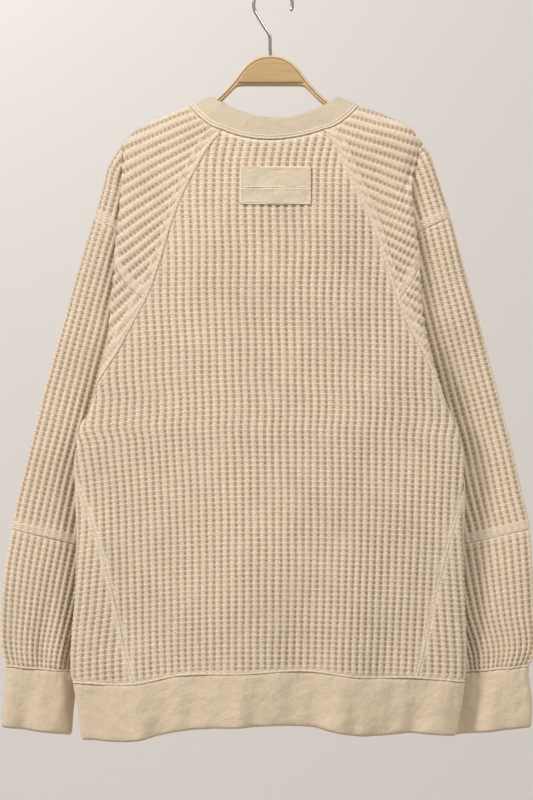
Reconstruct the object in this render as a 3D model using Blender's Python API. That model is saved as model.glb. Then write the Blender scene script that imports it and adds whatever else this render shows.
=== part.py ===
"""An oversized waffle-knit sweatshirt that hangs flat on a small wooden hanger.

Sizes are in millimetres until a mesh is made. "across" runs to the right, "down" is the distance
below the point that holds the hook, and "depth" runs away from the viewer of the garment's back.
"""
import math
from collections import namedtuple

import bpy
import numpy as np

MM = 0.001
WALL = 2.4            # knit cloth
BAND_WALL = 3.0       # doubled jersey of the neckband, cuffs and hem band
SEAM_GAP = 0.3        # between two sewn pieces
BAND_GAP = 0.35       # what a band keeps back from its seam line
UNDERARM_GAP = 1.8    # what the panels keep back where body and sleeve seams meet
ARM_GAP = 0.42        # what the arm's pieces keep back from their cross seams
NECKBAND_GAP = 0.8    # the neckband leans in, so it keeps back more
SIDES = (-1, 1)       # the left and the right side, as seen from behind

# The flattened body: where its side folds lie, and how deep it is behind and in front.
Body = namedtuple("Body", "down left right back front push")
BODY = [
    Body(125, -75, 82, 13, 13, 0),
    Body(132, -90, 96, 16, 15.5, 0),
    Body(142, -112, 122, 20, 18, 0),
    Body(152, -136, 146, 23, 20, 0),
    Body(167, -157, 160, 26, 22, 0),
    Body(180, -161, 158, 28, 23, 3),
    Body(196, -161, 152, 30, 23.5, 6),
    Body(224, -164, 152, 32, 24, 8),
    Body(257, -167, 155, 33, 25, 10),
    Body(290, -170, 160, 34, 26, 12),
    Body(345, -175, 163, 34, 26, 12),
    Body(400, -180, 172, 33, 26, 12),
    Body(438, -190, 183, 33, 25, 12),
    Body(455, -193, 188, 33, 25, 12),
    Body(471, -200, 195, 33, 25, 12),
    Body(488, -210, 203, 33, 25, 12),
    Body(505, -213, 207, 32, 25, 12),
    Body(600, -212, 209, 32, 25, 11),
    Body(675, -215, 211, 32, 26, 10),
    Body(761, -217, 211, 31, 27, 8),
    Body(790, -212, 207, 30, 27, 7),
    Body(827, -206, 198, 28, 25, 6),
]

# Seams on the body, by their turn round it: 0 at the middle of the back, 90 at the side fold.
Seam = namedtuple("Seam", "down left right")
RAGLAN_BACK = [
    Seam(160, -22, 20.3), Seam(187, -27.5, 30.2), Seam(231, -35.8, 40.4), Seam(269, -41.5, 47.5),
    Seam(304, -45.5, 51.9), Seam(345, -52, 59), Seam(379, -62.3, 66.8), Seam(411, -74, 77.7),
    Seam(438, -90, 83), Seam(455, -109, 88), Seam(470, -121, 106), Seam(482, -127, 127),
]
RAGLAN_FRONT = [
    Seam(178, -151, 150), Seam(215, -145, 143), Seam(260, -138, 136), Seam(320, -131, 130),
    Seam(380, -127, 126), Seam(430, -125, 124), Seam(482, -127, 127),
]
SIDE_SEAM_BACK = [
    Seam(482, -127, 127), Seam(520, -103, 108), Seam(554, -79, 86), Seam(600, -65.3, 70.5),
    Seam(656, -55.8, 60), Seam(712, -49, 53.3), Seam(763, -43.8, 48.2),
]
SIDE_SEAM_FRONT = [
    Seam(482, -127, 127), Seam(560, -129, 129), Seam(660, -132, 131), Seam(763, -136, 134),
]
UNDERARM = 482
UNDERARM_TURN = 127   # the underarm point, just in front of the side fold
SIDE_TOP = 162
SIDE_ROWS = [496, 512, 530, 550, 575, 605, 640, 680, 722, 763]

# The arm's outer edge, as the photo's outline shows it.
Outline = namedtuple("Outline", "down left right")
OUTLINE = [
    Outline(132, -90, 96), Outline(142, -112, 122), Outline(152, -136, 146), Outline(167, -157, 160),
    Outline(182, -168, 171), Outline(197, -177, 177), Outline(224, -185, 186), Outline(255, -194, 196),
    Outline(290, -205, 205), Outline(356, -224, 223), Outline(422, -243, 241), Outline(488, -260, 259),
    Outline(554, -276, 273), Outline(598, -285, 283), Outline(636, -292, 286), Outline(686, -296, 288),
    Outline(730, -295, 289), Outline(748, -291, 282), Outline(785, -293, 284), Outline(814, -295, 285),
]

# The arm, row by row from the neckband to the cuff. "outer", "seam", "front", "leave" and "tuck" say
# how far down each point of the row lies; "turn" is where the cloth leaves the body's surface to
# tuck under the side fold, and "inset" is how far inside the fold the tuck reaches.
Row = namedtuple("Row", "outer seam front leave turn inset tuck tuck_depth edge_depth near far bow")
ROWS = [
    Row(132, 160, 178, 138, -76, 0, 136, 0, 0, 9, 15, 5.5),
    Row(142, 193, 222, 150, -76, 0, 147, 0, 0, 9, 15, 2),
    Row(153, 236, 268, 162, -76, 0, 158, 0, 0, 9, 15, 0),
    Row(166, 285, 305, 179, -77, 2, 175, -4, 0, 9, 15, 0),
    Row(196, 322, 327, 218, -88, 3, 210, -5, 2, 9, 16, 0),
    Row(254, 345, 352, 288, -97, 9, 276, -4, 3, 9, 16, 0),
    Row(310, 386, 386, 350, -99, 15, 341, -3, 4, 9, 16, 0),
    Row(367, 423, 423, 410, -101, 21, 398, -1, 5, 8, 16, 0),
    Row(415, 458, 458, 452, -112, 27, 447, 10, 7, 7, 15, 0),
    Row(463, 482, 482, 482, -127, 0, 482, 17, 8, 7, 14, 0),
]

# The closed sleeve below the underarm: its inner edge, and how deep its outer and inner edges lie.
Tube = namedtuple("Tube", "outer inner left right edge_depth inner_depth near far")
TUBES = [
    Tube(520, 531, -174, 172, 6, 23, 8, 13),
    Tube(597, 619, -194, 190, 5, 22, 9, 13),
    Tube(675, 688, -204, 200, 4, 20, 12, 14),
    Tube(747, 754, -213, 210, 4, 13, 9, 11),
    Tube(815, 824, -221, 199, 4, 13, 8, 9),
]
UNDERARM_ROW = 9
LAP = 2.8             # how far the sleeve lies in front of the body where their seams come together
TUCK_ROLL = 4         # how far the tucked cloth rolls away from the viewer
CAP_ROWS = [0, 0.6, 1.2, 1.8, 2.4, 3, 3.5, 4, 4.5, 5]
ARMHOLE_ROWS = CAP_ROWS + [5.5, 6, 6.5, 7, 7.5, 8, 8.5, 9]
SLEEVE_ROWS = ARMHOLE_ROWS[9:] + [9.3, 9.65, 10, 10.5, 11]
ELBOW_ROW = 11
CUFF_ROW = 13
CUFF_END_ROW = 14

# Edges of the neckband and of the hem band.
NECK_MIDDLE = 4
NECKBAND_BACK_DIP = 11
NECKBAND_FRONT_DIP = 34
NECKBAND_NARROWS = 0.735
NECKBAND_TOP = 121.2
NECKBAND_BACK_EDGE = 146
NECKBAND_FRONT_EDGE = 192
NECKBAND_BACK_DEPTH = 23
HEM_SEAM = 763
HEM_EDGE = 826
Hem = namedtuple("Hem", "across seam edge")
HEM = [
    Hem(-215, 1, 1), Hem(-150, 2, 2), Hem(-100, -8, -9), Hem(-30, -10, -14), Hem(40, -13, -14),
    Hem(95, -6, -4), Hem(155, -5, -6), Hem(211, 0, -2),
]

# Soft upright folds of the body: where, how wide, how deep, and where each begins.
Fold = namedtuple("Fold", "across width depth begins")
BACK_FOLDS = [
    Fold(-122, 26, 3.5, 560), Fold(31, 30, 4, 600), Fold(126, 26, 4, 540), Fold(-50, 34, -2.5, 420),
    Fold(80, 30, -2.5, 430), Fold(170, 18, 2.5, 500), Fold(-168, 16, 2.5, 470),
]
FRONT_FOLDS = [
    Fold(-95, 30, 3.5, 520), Fold(12, 34, 4, 580), Fold(104, 28, 3.5, 500), Fold(-40, 30, -2.5, 400),
    Fold(60, 30, -2, 430),
]
GATHERS = 6           # soft gathers round the sleeve above the cuff
GATHER_DEPTH = 1.6

# The blank patch on the upper back.
PATCH_WIDTH = 77
PATCH_HEIGHT = 41
PATCH_MIDDLE = 4
PATCH_TOP = 200.5
PATCH_WALL = 1.2

# The hanger: its arch by stations from the middle outward, then a round bar under each shoulder.
Station = namedtuple("Station", "reach top bottom")
ARCH = [
    Station(0, 75.5, 109.8), Station(11, 77, 109.8), Station(21, 81.5, 109.8), Station(30, 89.5, 109.8),
    Station(37, 98.5, 111), Station(45, 108.4, 118.2), Station(54, 117.8, 127), Station(66, 127.4, 136.2),
    Station(78, 132.2, 141),
]
ARM_BAR = 8.6
BAR_CLEARANCE = 0.85
UNDER_BAND = 0.6      # more clearance where the thicker neckband lies over the bar
BAR_SLOPE = 1.1       # an upright cut through the sloping bar or cloth is this much longer
BAR_STARTS = 92
ARM_REACH = 143
HANGER_MIDDLE = -1
PANEL_THICK = 1.2
PANEL_RIM = 4.4       # the rim of bare wood round the inlay, measured square to the arch
PANEL_REACH = 36
PANEL_FOOT = 105.5
PANEL_CORNER = 1.2
HOOK_WIRE = 3.6
HOOK_RADIUS = 21.2
HOOK_CENTRE = 1.6
HOOK_STEM = 8


def through(table, column, at):
    """Smooth curve through a table's column: cubic pieces whose slopes come from the neighbours."""
    knots = np.array([row[0] for row in table], float)
    values = np.array([getattr(row, column) for row in table], float)
    return hermite(knots, values, np.asarray(at, float))


def hermite(knots, values, at):
    """Cubic pieces through the values at the knots; a value may be a whole row of numbers."""
    slopes = np.gradient(values, knots, axis=0)
    piece = np.clip(np.searchsorted(knots, at, "right") - 1, 0, len(knots) - 2)
    span = knots[piece + 1] - knots[piece]
    part = (at - knots[piece]) / span
    shape = part.shape + (1,) * (values.ndim - 1)
    part = part.reshape(shape)
    span = span.reshape(shape)
    rise = part * part * (3 - 2 * part)
    start = part * (1 - part) ** 2 * span
    end = part * part * (part - 1) * span
    level = (1 - rise) * values[piece] + rise * values[piece + 1]
    return level + start * slopes[piece] + end * slopes[piece + 1]


def ease(value):
    """0 below 0, 1 above 1 and smooth between."""
    value = np.clip(value, 0, 1)
    return value * value * (3 - 2 * value)


def folds(table, across, down):
    """Soft troughs that deepen from where they begin to the hem."""
    total = np.zeros(np.broadcast(across, down).shape)
    for fold in table:
        growth = ease((down - fold.begins) / 200)
        total = total + fold.depth * growth * np.exp(-((across - fold.across) / fold.width) ** 2)
    return total


def on_body(turn, down):
    """A point of the flattened body: an ellipse whose side folds are pushed towards the viewer."""
    turn = np.radians(turn)
    left = through(BODY, "left", down)
    right = through(BODY, "right", down)
    middle = (left + right) / 2
    half = (right - left) / 2
    push = through(BODY, "push", down)
    sine = np.sin(turn)
    cosine = np.cos(turn)
    across = middle + half * sine
    back = through(BODY, "back", down)
    front = through(BODY, "front", down)
    depth = np.where(cosine > 0, -back * cosine, -front * cosine) - push * sine ** 8
    dent = np.where(cosine > 0, folds(BACK_FOLDS, across, down), -folds(FRONT_FOLDS, across, down))
    return np.stack(np.broadcast_arrays(across, depth + dent * np.abs(cosine), down), -1)


def fold_edge(side, down):
    """How far across the body's side fold lies."""
    return through(BODY, "left" if side < 0 else "right", down)


def turn_at(across, down):
    """The turn of a point of the back that lies this far across."""
    left = through(BODY, "left", down)
    right = through(BODY, "right", down)
    sine = np.clip((across - (left + right) / 2) * 2 / (right - left), -1, 1)
    return np.degrees(np.arcsin(sine))


def seam_turn(table, side, down):
    """The turn round the body at which a seam lies on one side."""
    return through(table, "left" if side < 0 else "right", down)


def row_value(column, row):
    """A column of the arm's table, read between its rows."""
    values = np.array([getattr(entry, column) for entry in ROWS], float)
    return hermite(np.arange(len(ROWS), dtype=float), values, row)


# Steps for the differences that give the surfaces' normals: degrees or mm, rows, parts of a row.
SMALL_STEP = 0.2
SMALL_ROW = 0.03
SMALL_PART = 0.004

RING_COLUMNS = [0, 2.5, 5, 6] + [6.5 + 0.4 * i for i in range(24)] + [16.2, 16.8, 17.4]
BACK_SHARES = (1, 0.75, 0.5, 0.25, 0.1, 0.07, 0.05, 0.035, 0.022, 0.012, 0.004, 0)
FRONT_SHARES = (0.006, 0.03, 0.1, 0.25, 0.5, 0.8, 1)
NEAR_ANGLES = (150, 120, 90, 60, 30)
FAR_ANGLES = (20, 40, 60, 75, 84)


def shoulder_columns(side, row):
    """The arm's columns where it lies on the body's surface, from the back seam over the top."""
    outer = row_value("outer", row)
    top = on_body(side * 90, outer)
    bow = row_value("bow", row)
    seam = row_value("seam", row)
    front = row_value("front", row)
    behind = on_body(seam_turn(RAGLAN_BACK, side, seam), seam)
    before = on_body(seam_turn(RAGLAN_FRONT, side, front), front)
    columns = []
    for end, shares, faces_back in ((behind, BACK_SHARES, True), (before, FRONT_SHARES, False)):
        for share in shares:
            across = top[:, 0] + (end[:, 0] - top[:, 0]) * share
            down = outer + (end[:, 2] - outer) * share + bow * 4 * share * (1 - share)
            turn = turn_at(across, down)
            columns.append(on_body(turn if faces_back else 180 - turn, down))
    return np.stack(columns, 1)


def hanging_columns(side, row):
    """The arm's columns where the sleeve hangs: over the side fold, tucked under it, then outward."""
    outer = row_value("outer", row)
    seam = row_value("seam", row)
    front = row_value("front", row)
    leave_down = row_value("leave", row)
    leave = -row_value("turn", row)
    seam_at = seam_turn(RAGLAN_BACK, side, seam) * side
    front_at = seam_turn(RAGLAN_FRONT, side, front) * side
    lift = LAP * ease(row - 8)
    columns = []
    for part in (0, 0.25, 0.5, 0.75, 1.0):
        turn = seam_at + (leave - seam_at) * part
        down = seam + (leave_down - seam) * part
        point = on_body(side * turn, down)
        point[..., 1] += lift
        columns.append(point)
    edge = np.stack([through(OUTLINE, "left" if side < 0 else "right", outer),
                     row_value("edge_depth", row), outer], -1)
    tuck_down = row_value("tuck", row)
    tuck_across = fold_edge(side, tuck_down) - side * row_value("inset", row)
    underarm = on_body(side * UNDERARM_TURN, np.full_like(row, UNDERARM))
    closing = ease(row - 8)
    tuck = np.stack([tuck_across, row_value("tuck_depth", row), tuck_down], -1)
    underarm_tuck = underarm + np.array([0, LAP, 0])
    tuck = tuck + (underarm_tuck - tuck) * closing[:, None]
    columns.append(tuck)
    near = row_value("near", row)
    lift_near = TUCK_ROLL * (1 - closing)
    for angle in NEAR_ANGLES:
        part = (1 - math.cos(math.radians(angle))) / 2
        point = edge + (tuck - edge) * part
        point[..., 1] += lift_near * part ** 4 - near * math.sin(math.radians(angle)) * (1 - part) ** 0.7
        columns.append(point)
    columns.append(edge)
    last = on_body(side * front_at, front)
    last[..., 1] += lift
    beside = on_body(side * (front_at - 5 * (1 - closing)), front)
    beside[..., 1] += lift
    far = row_value("far", row)
    for angle in FAR_ANGLES:
        part = 1 - math.cos(math.radians(angle))
        point = edge + (last - edge) * part
        point[..., 1] += far * math.sin(math.radians(angle)) * (1 - part) ** 0.5
        columns.append(point)
    columns.append(beside * 0.7 + last * 0.3)
    columns.append(last)
    return np.stack(columns, 1)


def tube_columns(side, row):
    """The closed sleeve: a tilted ellipse from its inner edge, over the near side, and back."""
    knots = np.arange(9, 9 + len(TUBES) + 1, dtype=float)
    first = on_body(np.array([float(side * UNDERARM_TURN)]), np.array([float(UNDERARM)]))[0]
    table = [(ROWS[-1].outer, UNDERARM, first[0], ROWS[-1].edge_depth, first[1] + 4, 7, 10)]
    for tube in TUBES:
        inner = tube.left if side < 0 else tube.right
        table.append((tube.outer, tube.inner, inner, tube.edge_depth, tube.inner_depth, tube.near, tube.far))
    outer, inner_down, inner, edge_depth, inner_depth, near, far = hermite(knots, np.array(table), row).T
    edge = np.stack([through(OUTLINE, "left" if side < 0 else "right", outer), edge_depth, outer], -1)
    inside = np.stack([inner, inner_depth, inner_down], -1)
    angles = [180, 176, 171, 166, 161, 156, 147, 120, 90, 60, 30, 0]
    angles += [-30, -60, -90, -120, -148, -168, -180]
    columns = []
    for angle in angles:
        part = (1 - math.cos(math.radians(angle))) / 2
        point = edge + (inside - edge) * part
        swell = near if angle > 0 else far
        point[..., 1] -= swell * math.sin(math.radians(angle))
        columns.append(point)
    return np.stack(columns, 1)


def on_arm(side, row, part):
    """The arm's surface: row 0 is the neckband and row 14 the cuff's end, part 0 the back seam or
    inner edge, 11/18 the outer edge and 1 the front seam or inner edge."""
    row = np.asarray(row, float)
    upper = np.clip(row, 0, len(ROWS) - 1)
    lower = np.clip(row, len(ROWS) - 1, CUFF_END_ROW)
    shoulder = shoulder_columns(side, upper)
    hanging = hanging_columns(side, upper)
    tube = tube_columns(side, lower)
    hang = ease((row - 3) / 1.5)[:, None, None]
    close = ease((row - 8.7) / 1.3)[:, None, None]
    held = shoulder + (hanging - shoulder) * hang
    columns = held + (tube - held) * close
    count = columns.shape[1]
    spine = np.moveaxis(columns, 1, 0)
    surface = np.moveaxis(hermite(np.linspace(0, 1, count), spine, np.asarray(part, float)), 0, 1)
    gather = ease((row - 11.6) / 1.2) * (1 - ease((row - 12.9) / 0.2))
    station = np.asarray(part, float) * (count - 1)
    on_the_sides = ease(station - 5.5) * ease(16.5 - station)
    waves = np.sin(2 * math.pi * GATHERS * (station - 6) / 10) * on_the_sides
    surface[..., 1] += GATHER_DEPTH * gather[:, None] * waves[None, :]
    return surface


def unit(vectors):
    return vectors / np.maximum(np.linalg.norm(vectors, axis=-1, keepdims=True), 1e-9)


def body_grid(turn, down):
    """Points and outward normals of the body's surface."""
    turn, down = np.broadcast_arrays(np.asarray(turn, float), np.asarray(down, float))
    step = SMALL_STEP
    round_body = on_body(turn + step, down) - on_body(turn - step, down)
    downward = on_body(turn, down + step) - on_body(turn, down - step)
    return on_body(turn, down), unit(np.cross(round_body, downward))


def arm_grid(side, rows, parts):
    """Points and outward normals of the arm's surface; its seams share the body's own normals."""
    rows = np.asarray(rows, float)
    parts = np.asarray(parts, float)
    points = on_arm(side, rows, parts)
    later = on_arm(side, np.minimum(rows + SMALL_ROW, CUFF_END_ROW), parts)
    earlier = on_arm(side, np.maximum(rows - SMALL_ROW, 0), parts)
    ahead = on_arm(side, rows, np.minimum(parts + SMALL_PART, 1))
    behind = on_arm(side, rows, np.maximum(parts - SMALL_PART, 0))
    normal = unit(np.cross(ahead - behind, later - earlier) * side)
    held = rows <= len(ROWS) - 1.5
    for column, table, name in ((0, RAGLAN_BACK, "seam"), (-1, RAGLAN_FRONT, "front")):
        if parts[column] in (0, 1):
            down = row_value(name, rows[held])
            normal[held, column] = body_grid(seam_turn(table, side, down), down)[1]
    return points, normal


def loose_normals(points):
    """Normals of a ring of points that has no surface of its own."""
    along = np.gradient(points, axis=0)
    across = np.roll(points, -1, 1) - np.roll(points, 1, 1)
    return unit(np.cross(across, along))


def draw_in(points, gap, side_gap):
    """Moves a grid's borders inward along the cloth; a closed ring has no side borders."""
    points = points.copy()
    for axis, kept_back in ((0, gap), (1, side_gap)):
        if kept_back is None:
            continue
        lines = np.moveaxis(points, axis, 0)
        for edge, neighbour in ((0, 1), (-1, -2)):
            step = lines[neighbour] - lines[edge]
            length = np.maximum(np.linalg.norm(step, axis=-1, keepdims=True), 1e-9)
            share = np.broadcast_to(np.reshape(kept_back, (-1, 1)), length.shape)
            lines[edge] += step / length * np.minimum(share, 0.4 * length)
    return points


def underarm_gap(rows):
    """Half the gap beside a seam: wider where the seams of body and sleeve come together."""
    near = np.exp(-((np.array(rows) - UNDERARM_ROW + 0.4) / 0.9) ** 2)
    return SEAM_GAP / 2 + UNDERARM_GAP * near


def to_world(points):
    """From across, depth and down in millimetres to metres with +Z up."""
    return np.stack([points[..., 0], points[..., 1], -points[..., 2]], -1) * MM


def wall(name, grid, thickness, material, closed=False, gap=SEAM_GAP / 2, side_gap=SEAM_GAP / 2):
    """A closed wall about a grid of points: two skins and the rims that join them."""
    points, normal = grid
    points = draw_in(points, gap, None if closed else side_gap)
    normal = normal * thickness / 2
    outer = to_world(points + normal)
    inner = to_world(points - normal)
    rows, columns = points.shape[:2]
    vertices = np.concatenate([outer.reshape(-1, 3), inner.reshape(-1, 3)])
    index = np.arange(rows * columns).reshape(rows, columns)
    back = index + rows * columns
    around = columns if closed else columns - 1
    faces = []
    for i in range(rows - 1):
        for j in range(around):
            k = (j + 1) % columns
            faces.append((index[i, j], index[i, k], index[i + 1, k], index[i + 1, j]))
            faces.append((back[i, j], back[i + 1, j], back[i + 1, k], back[i, k]))
    for j in range(around):
        k = (j + 1) % columns
        faces.append((index[0, k], index[0, j], back[0, j], back[0, k]))
        faces.append((index[-1, j], index[-1, k], back[-1, k], back[-1, j]))
    if not closed:
        for i in range(rows - 1):
            faces.append((index[i, 0], index[i + 1, 0], back[i + 1, 0], back[i, 0]))
            faces.append((index[i + 1, -1], index[i, -1], back[i, -1], back[i + 1, -1]))
    return add_mesh(name, vertices, faces, material)


def add_mesh(name, vertices, faces, material):
    mesh = bpy.data.meshes.new(name)
    corners = [tuple(map(float, vertex)) for vertex in vertices]
    mesh.from_pydata(corners, [], [tuple(map(int, face)) for face in faces])
    mesh.materials.append(material)
    mesh.update()
    item = bpy.data.objects.new(name, mesh)
    bpy.context.collection.objects.link(item)
    face_outward(item)
    mesh.shade_smooth()
    mesh.set_sharp_from_angle(angle=math.radians(50))
    return item


def face_outward(item):
    """Turns a closed mesh's faces outward if the volume of its triangles is negative."""
    mesh = item.data
    mesh.calc_loop_triangles()
    places = np.array([vertex.co[:] for vertex in mesh.vertices])
    corners = np.array([triangle.vertices[:] for triangle in mesh.loop_triangles])
    a, b, c = places[corners[:, 0]], places[corners[:, 1]], places[corners[:, 2]]
    if np.einsum("ij,ij->i", a, np.cross(b, c)).sum() < 0:
        mesh.flip_normals()


def cloth(name, colour, roughness):
    material = bpy.data.materials.new(name)
    material.use_nodes = True
    shader = material.node_tree.nodes["Principled BSDF"]
    shader.inputs["Base Color"].default_value = (*colour, 1)
    shader.inputs["Roughness"].default_value = roughness
    return material


def metal(name, colour, roughness):
    material = cloth(name, colour, roughness)
    material.node_tree.nodes["Principled BSDF"].inputs["Metallic"].default_value = 1
    return material


def neckline(side_front, share):
    """The panel's top edge between its raglan seams: how far it dips below the straight line."""
    dip = NECKBAND_FRONT_DIP if side_front else NECKBAND_BACK_DIP
    return dip * (1 - (2 * share - 1) ** 2) * (0.8 + 0.2 * (1 - (2 * share - 1) ** 2))


def body_panel(front, share):
    """A body panel's grid: every row runs from the left seam to the right one, round the body."""
    share = np.asarray(share, float)
    raglan, side_seam = (RAGLAN_FRONT, SIDE_SEAM_FRONT) if front else (RAGLAN_BACK, SIDE_SEAM_BACK)
    upper = row_value("front" if front else "seam", np.array(ARMHOLE_ROWS))
    levels = [(raglan, down) for down in upper] + [(side_seam, down) for down in SIDE_ROWS]
    turns = []
    downs = []
    for table, level in levels:
        left = float(seam_turn(table, -1, level)) + (360 if front else 0)
        right = float(seam_turn(table, 1, level))
        turn = left + (right - left) * share
        fallen = (level - upper[0]) / (HEM_SEAM - upper[0])
        down = level + neckline(front, share) * (1 - ease(fallen * 3))
        across = on_body(turn, down)[:, 0]
        turns.append(turn)
        downs.append(down + through(HEM, "seam", across) * ease((fallen - 0.8) / 0.2))
    return body_grid(np.array(turns), np.array(downs))


def spread(start, stop, steps):
    """Evenly spaced values from start to stop."""
    return [start + (stop - start) * i / steps for i in range(steps + 1)]


def side_panel(side, steps):
    """The long triangle between the two body panels, from just under the arm to the hem."""
    turns = []
    downs = []
    for level in SIDE_ROWS:
        start = float(seam_turn(SIDE_SEAM_BACK, side, level))
        end = float(seam_turn(SIDE_SEAM_FRONT, side, level))
        turn = np.array(spread(start, end, steps))
        fallen = (level - SIDE_TOP) / (HEM_SEAM - SIDE_TOP)
        across = on_body(turn, np.full_like(turn, level))[:, 0]
        turns.append(turn)
        downs.append(level + through(HEM, "seam", across) * ease((fallen - 0.8) / 0.2))
    return body_grid(np.array(turns), np.array(downs))


def hem_band(steps):
    """The hem band's grid: it goes on from the body's own surface, with a wavy lower edge."""
    turn = np.arange(steps) * 360 / steps
    downs = []
    for part in spread(0, 1, 2):
        down = HEM_SEAM + (HEM_EDGE - HEM_SEAM) * part
        across = on_body(turn, np.full_like(turn, down))[:, 0]
        wave = through(HEM, "seam", across) * (1 - part) + through(HEM, "edge", across) * part
        downs.append(down + wave)
    return body_grid(turn[None, :], np.array(downs))


def neck_loop(back_edge, front_edge, left_cap, right_cap):
    """The neck's seam line as one loop: back, right shoulder, front, left shoulder."""
    return np.concatenate([back_edge, right_cap[1:-1], front_edge[::-1], left_cap[::-1][1:-1]])


def neckband(loop, steps):
    """The neckband's grid, from its seam line up and inward to the edge of the opening."""
    middle = NECK_MIDDLE
    across = middle + (loop[:, 0] - middle) * NECKBAND_NARROWS
    reach = np.abs(loop[:, 0] - middle).max() * NECKBAND_NARROWS
    side = np.clip(np.abs(across - middle) / reach, 0, 1)
    is_front = loop[:, 1] > 0
    lowest = np.where(is_front, NECKBAND_FRONT_EDGE, NECKBAND_BACK_EDGE)
    power = np.where(is_front, 2.6, 2.0)
    down = lowest - (lowest - NECKBAND_TOP) * side ** power
    depth = np.sqrt(np.clip(1 - side ** 2, 0, 1)) * NECKBAND_BACK_DEPTH * np.where(is_front, 1, -1)
    edge = np.stack([across, depth, down], -1)
    rows = []
    for part in spread(0, 1, steps):
        rows.append(loop + (edge - loop) * part)
    points = np.array(rows)
    return points, loose_normals(points)


def patch_grid(columns, rows):
    """The blank patch: points of the back panel, moved out."""
    across = np.linspace(PATCH_MIDDLE - PATCH_WIDTH / 2, PATCH_MIDDLE + PATCH_WIDTH / 2, columns)
    down = np.linspace(PATCH_TOP, PATCH_TOP + PATCH_HEIGHT, rows)
    across, down = np.meshgrid(across, down)
    points, normal = body_grid(turn_at(across, down), down)
    return points + normal * (WALL / 2 + PATCH_WALL / 2 + SEAM_GAP), normal


def tube_along(name, path, radii, sides, material):
    """A round bar along a path that lies in one upright plane, with flat ends."""
    path = np.asarray(path, float)
    ahead = np.gradient(path, axis=0)
    ahead /= np.linalg.norm(ahead, axis=1, keepdims=True)
    across = np.cross(ahead, np.array([0, 1.0, 0]))
    angles = np.arange(sides) * 2 * math.pi / sides
    ring = np.cos(angles)[None, :, None] * across[:, None, :]
    ring = ring + np.sin(angles)[None, :, None] * np.array([0, 1.0, 0])
    points = path[:, None, :] + ring * np.asarray(radii)[:, None, None]
    count = len(path)
    vertices = to_world(points).reshape(-1, 3)
    index = np.arange(count * sides).reshape(count, sides)
    faces = [tuple(index[0]), tuple(index[-1][::-1])]
    for i in range(count - 1):
        for j in range(sides):
            k = (j + 1) % sides
            faces.append((index[i, j], index[i + 1, j], index[i + 1, k], index[i, k]))
    return add_mesh(name, vertices, faces, material)


def shoulder_line(across):
    """How far down the top of the shoulder lies at this distance across."""
    side = -1 if across < 0 else 1
    column = "left" if side < 0 else "right"
    downs = np.linspace(125, 167, 85)
    edges = np.abs(through(BODY, column, downs))
    return float(np.interp(abs(across), edges, downs))


def hanger_stations(side):
    """Half of the hanger from its middle to an arm's end: across, top and bottom edge."""
    stations = [(HANGER_MIDDLE + side * station.reach, station.top, station.bottom) for station in ARCH]
    for reach in spread(BAR_STARTS, ARM_REACH, 8):
        across = HANGER_MIDDLE + side * reach
        under_band = 1 - ease((reach - BAR_STARTS) / 12)
        clearance = BAR_CLEARANCE + UNDER_BAND * under_band
        top = shoulder_line(across) + WALL / 2 * BAR_SLOPE + clearance
        stations.append((across, top, top + ARM_BAR * BAR_SLOPE))
    return np.array(stations, float)


def hanger_body(material):
    """The wooden body: its outline swept through a rounded depth."""
    whole = np.concatenate([hanger_stations(-1)[:0:-1], hanger_stations(1)])
    across = whole[:, 0]
    middle = (whole[:, 1] + whole[:, 2]) / 2
    rise = (whole[:, 2] - whole[:, 1]) / 2
    angles = np.radians([90, 65, 35, 0, -35, -65, -90, -115, -145, 180, 145, 115])
    height = np.sign(np.sin(angles)) * np.abs(np.sin(angles)) ** 0.8
    depth = np.sign(np.cos(angles)) * np.abs(np.cos(angles)) ** 0.8
    points = np.zeros((len(whole), len(angles), 3))
    points[..., 0] = across[:, None]
    points[..., 1] = ARM_BAR / 2 * depth
    points[..., 2] = middle[:, None] - rise[:, None] * height
    count, sides = points.shape[:2]
    index = np.arange(count * sides).reshape(count, sides)
    faces = [tuple(index[0]), tuple(index[-1][::-1])]
    for i in range(count - 1):
        for j in range(sides):
            k = (j + 1) % sides
            faces.append((index[i, j], index[i + 1, j], index[i + 1, k], index[i, k]))
    return add_mesh("hanger_body", to_world(points).reshape(-1, 3), faces, material)


def hanger_panel(material):
    """The flat inlay on the arch, bare of any lettering, inside an even rim."""
    slopes = np.gradient([station.top for station in ARCH], [station.reach for station in ARCH])
    arch = [pair for pair in zip(ARCH, slopes) if pair[0].reach < PANEL_REACH]
    top = [(station.reach, station.top + PANEL_RIM * np.hypot(1, slope)) for station, slope in arch]
    foot = [(PANEL_REACH, PANEL_FOOT - PANEL_CORNER), (PANEL_REACH - PANEL_CORNER, PANEL_FOOT)]
    right = top + foot
    outline = [(-reach, down) for reach, down in right[::-1]] + right[1:]
    face = -ARM_BAR / 2 - SEAM_GAP
    count = len(outline)
    points = [(reach + HANGER_MIDDLE, face - PANEL_THICK, down) for reach, down in outline]
    points += [(reach + HANGER_MIDDLE, face, down) for reach, down in outline]
    faces = [tuple(range(count)), tuple(range(2 * count - 1, count - 1, -1))]
    for i in range(count):
        k = (i + 1) % count
        faces.append((i, i + count, k + count, k))
    return add_mesh("hanger_panel", to_world(np.array(points)), faces, material)


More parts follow.
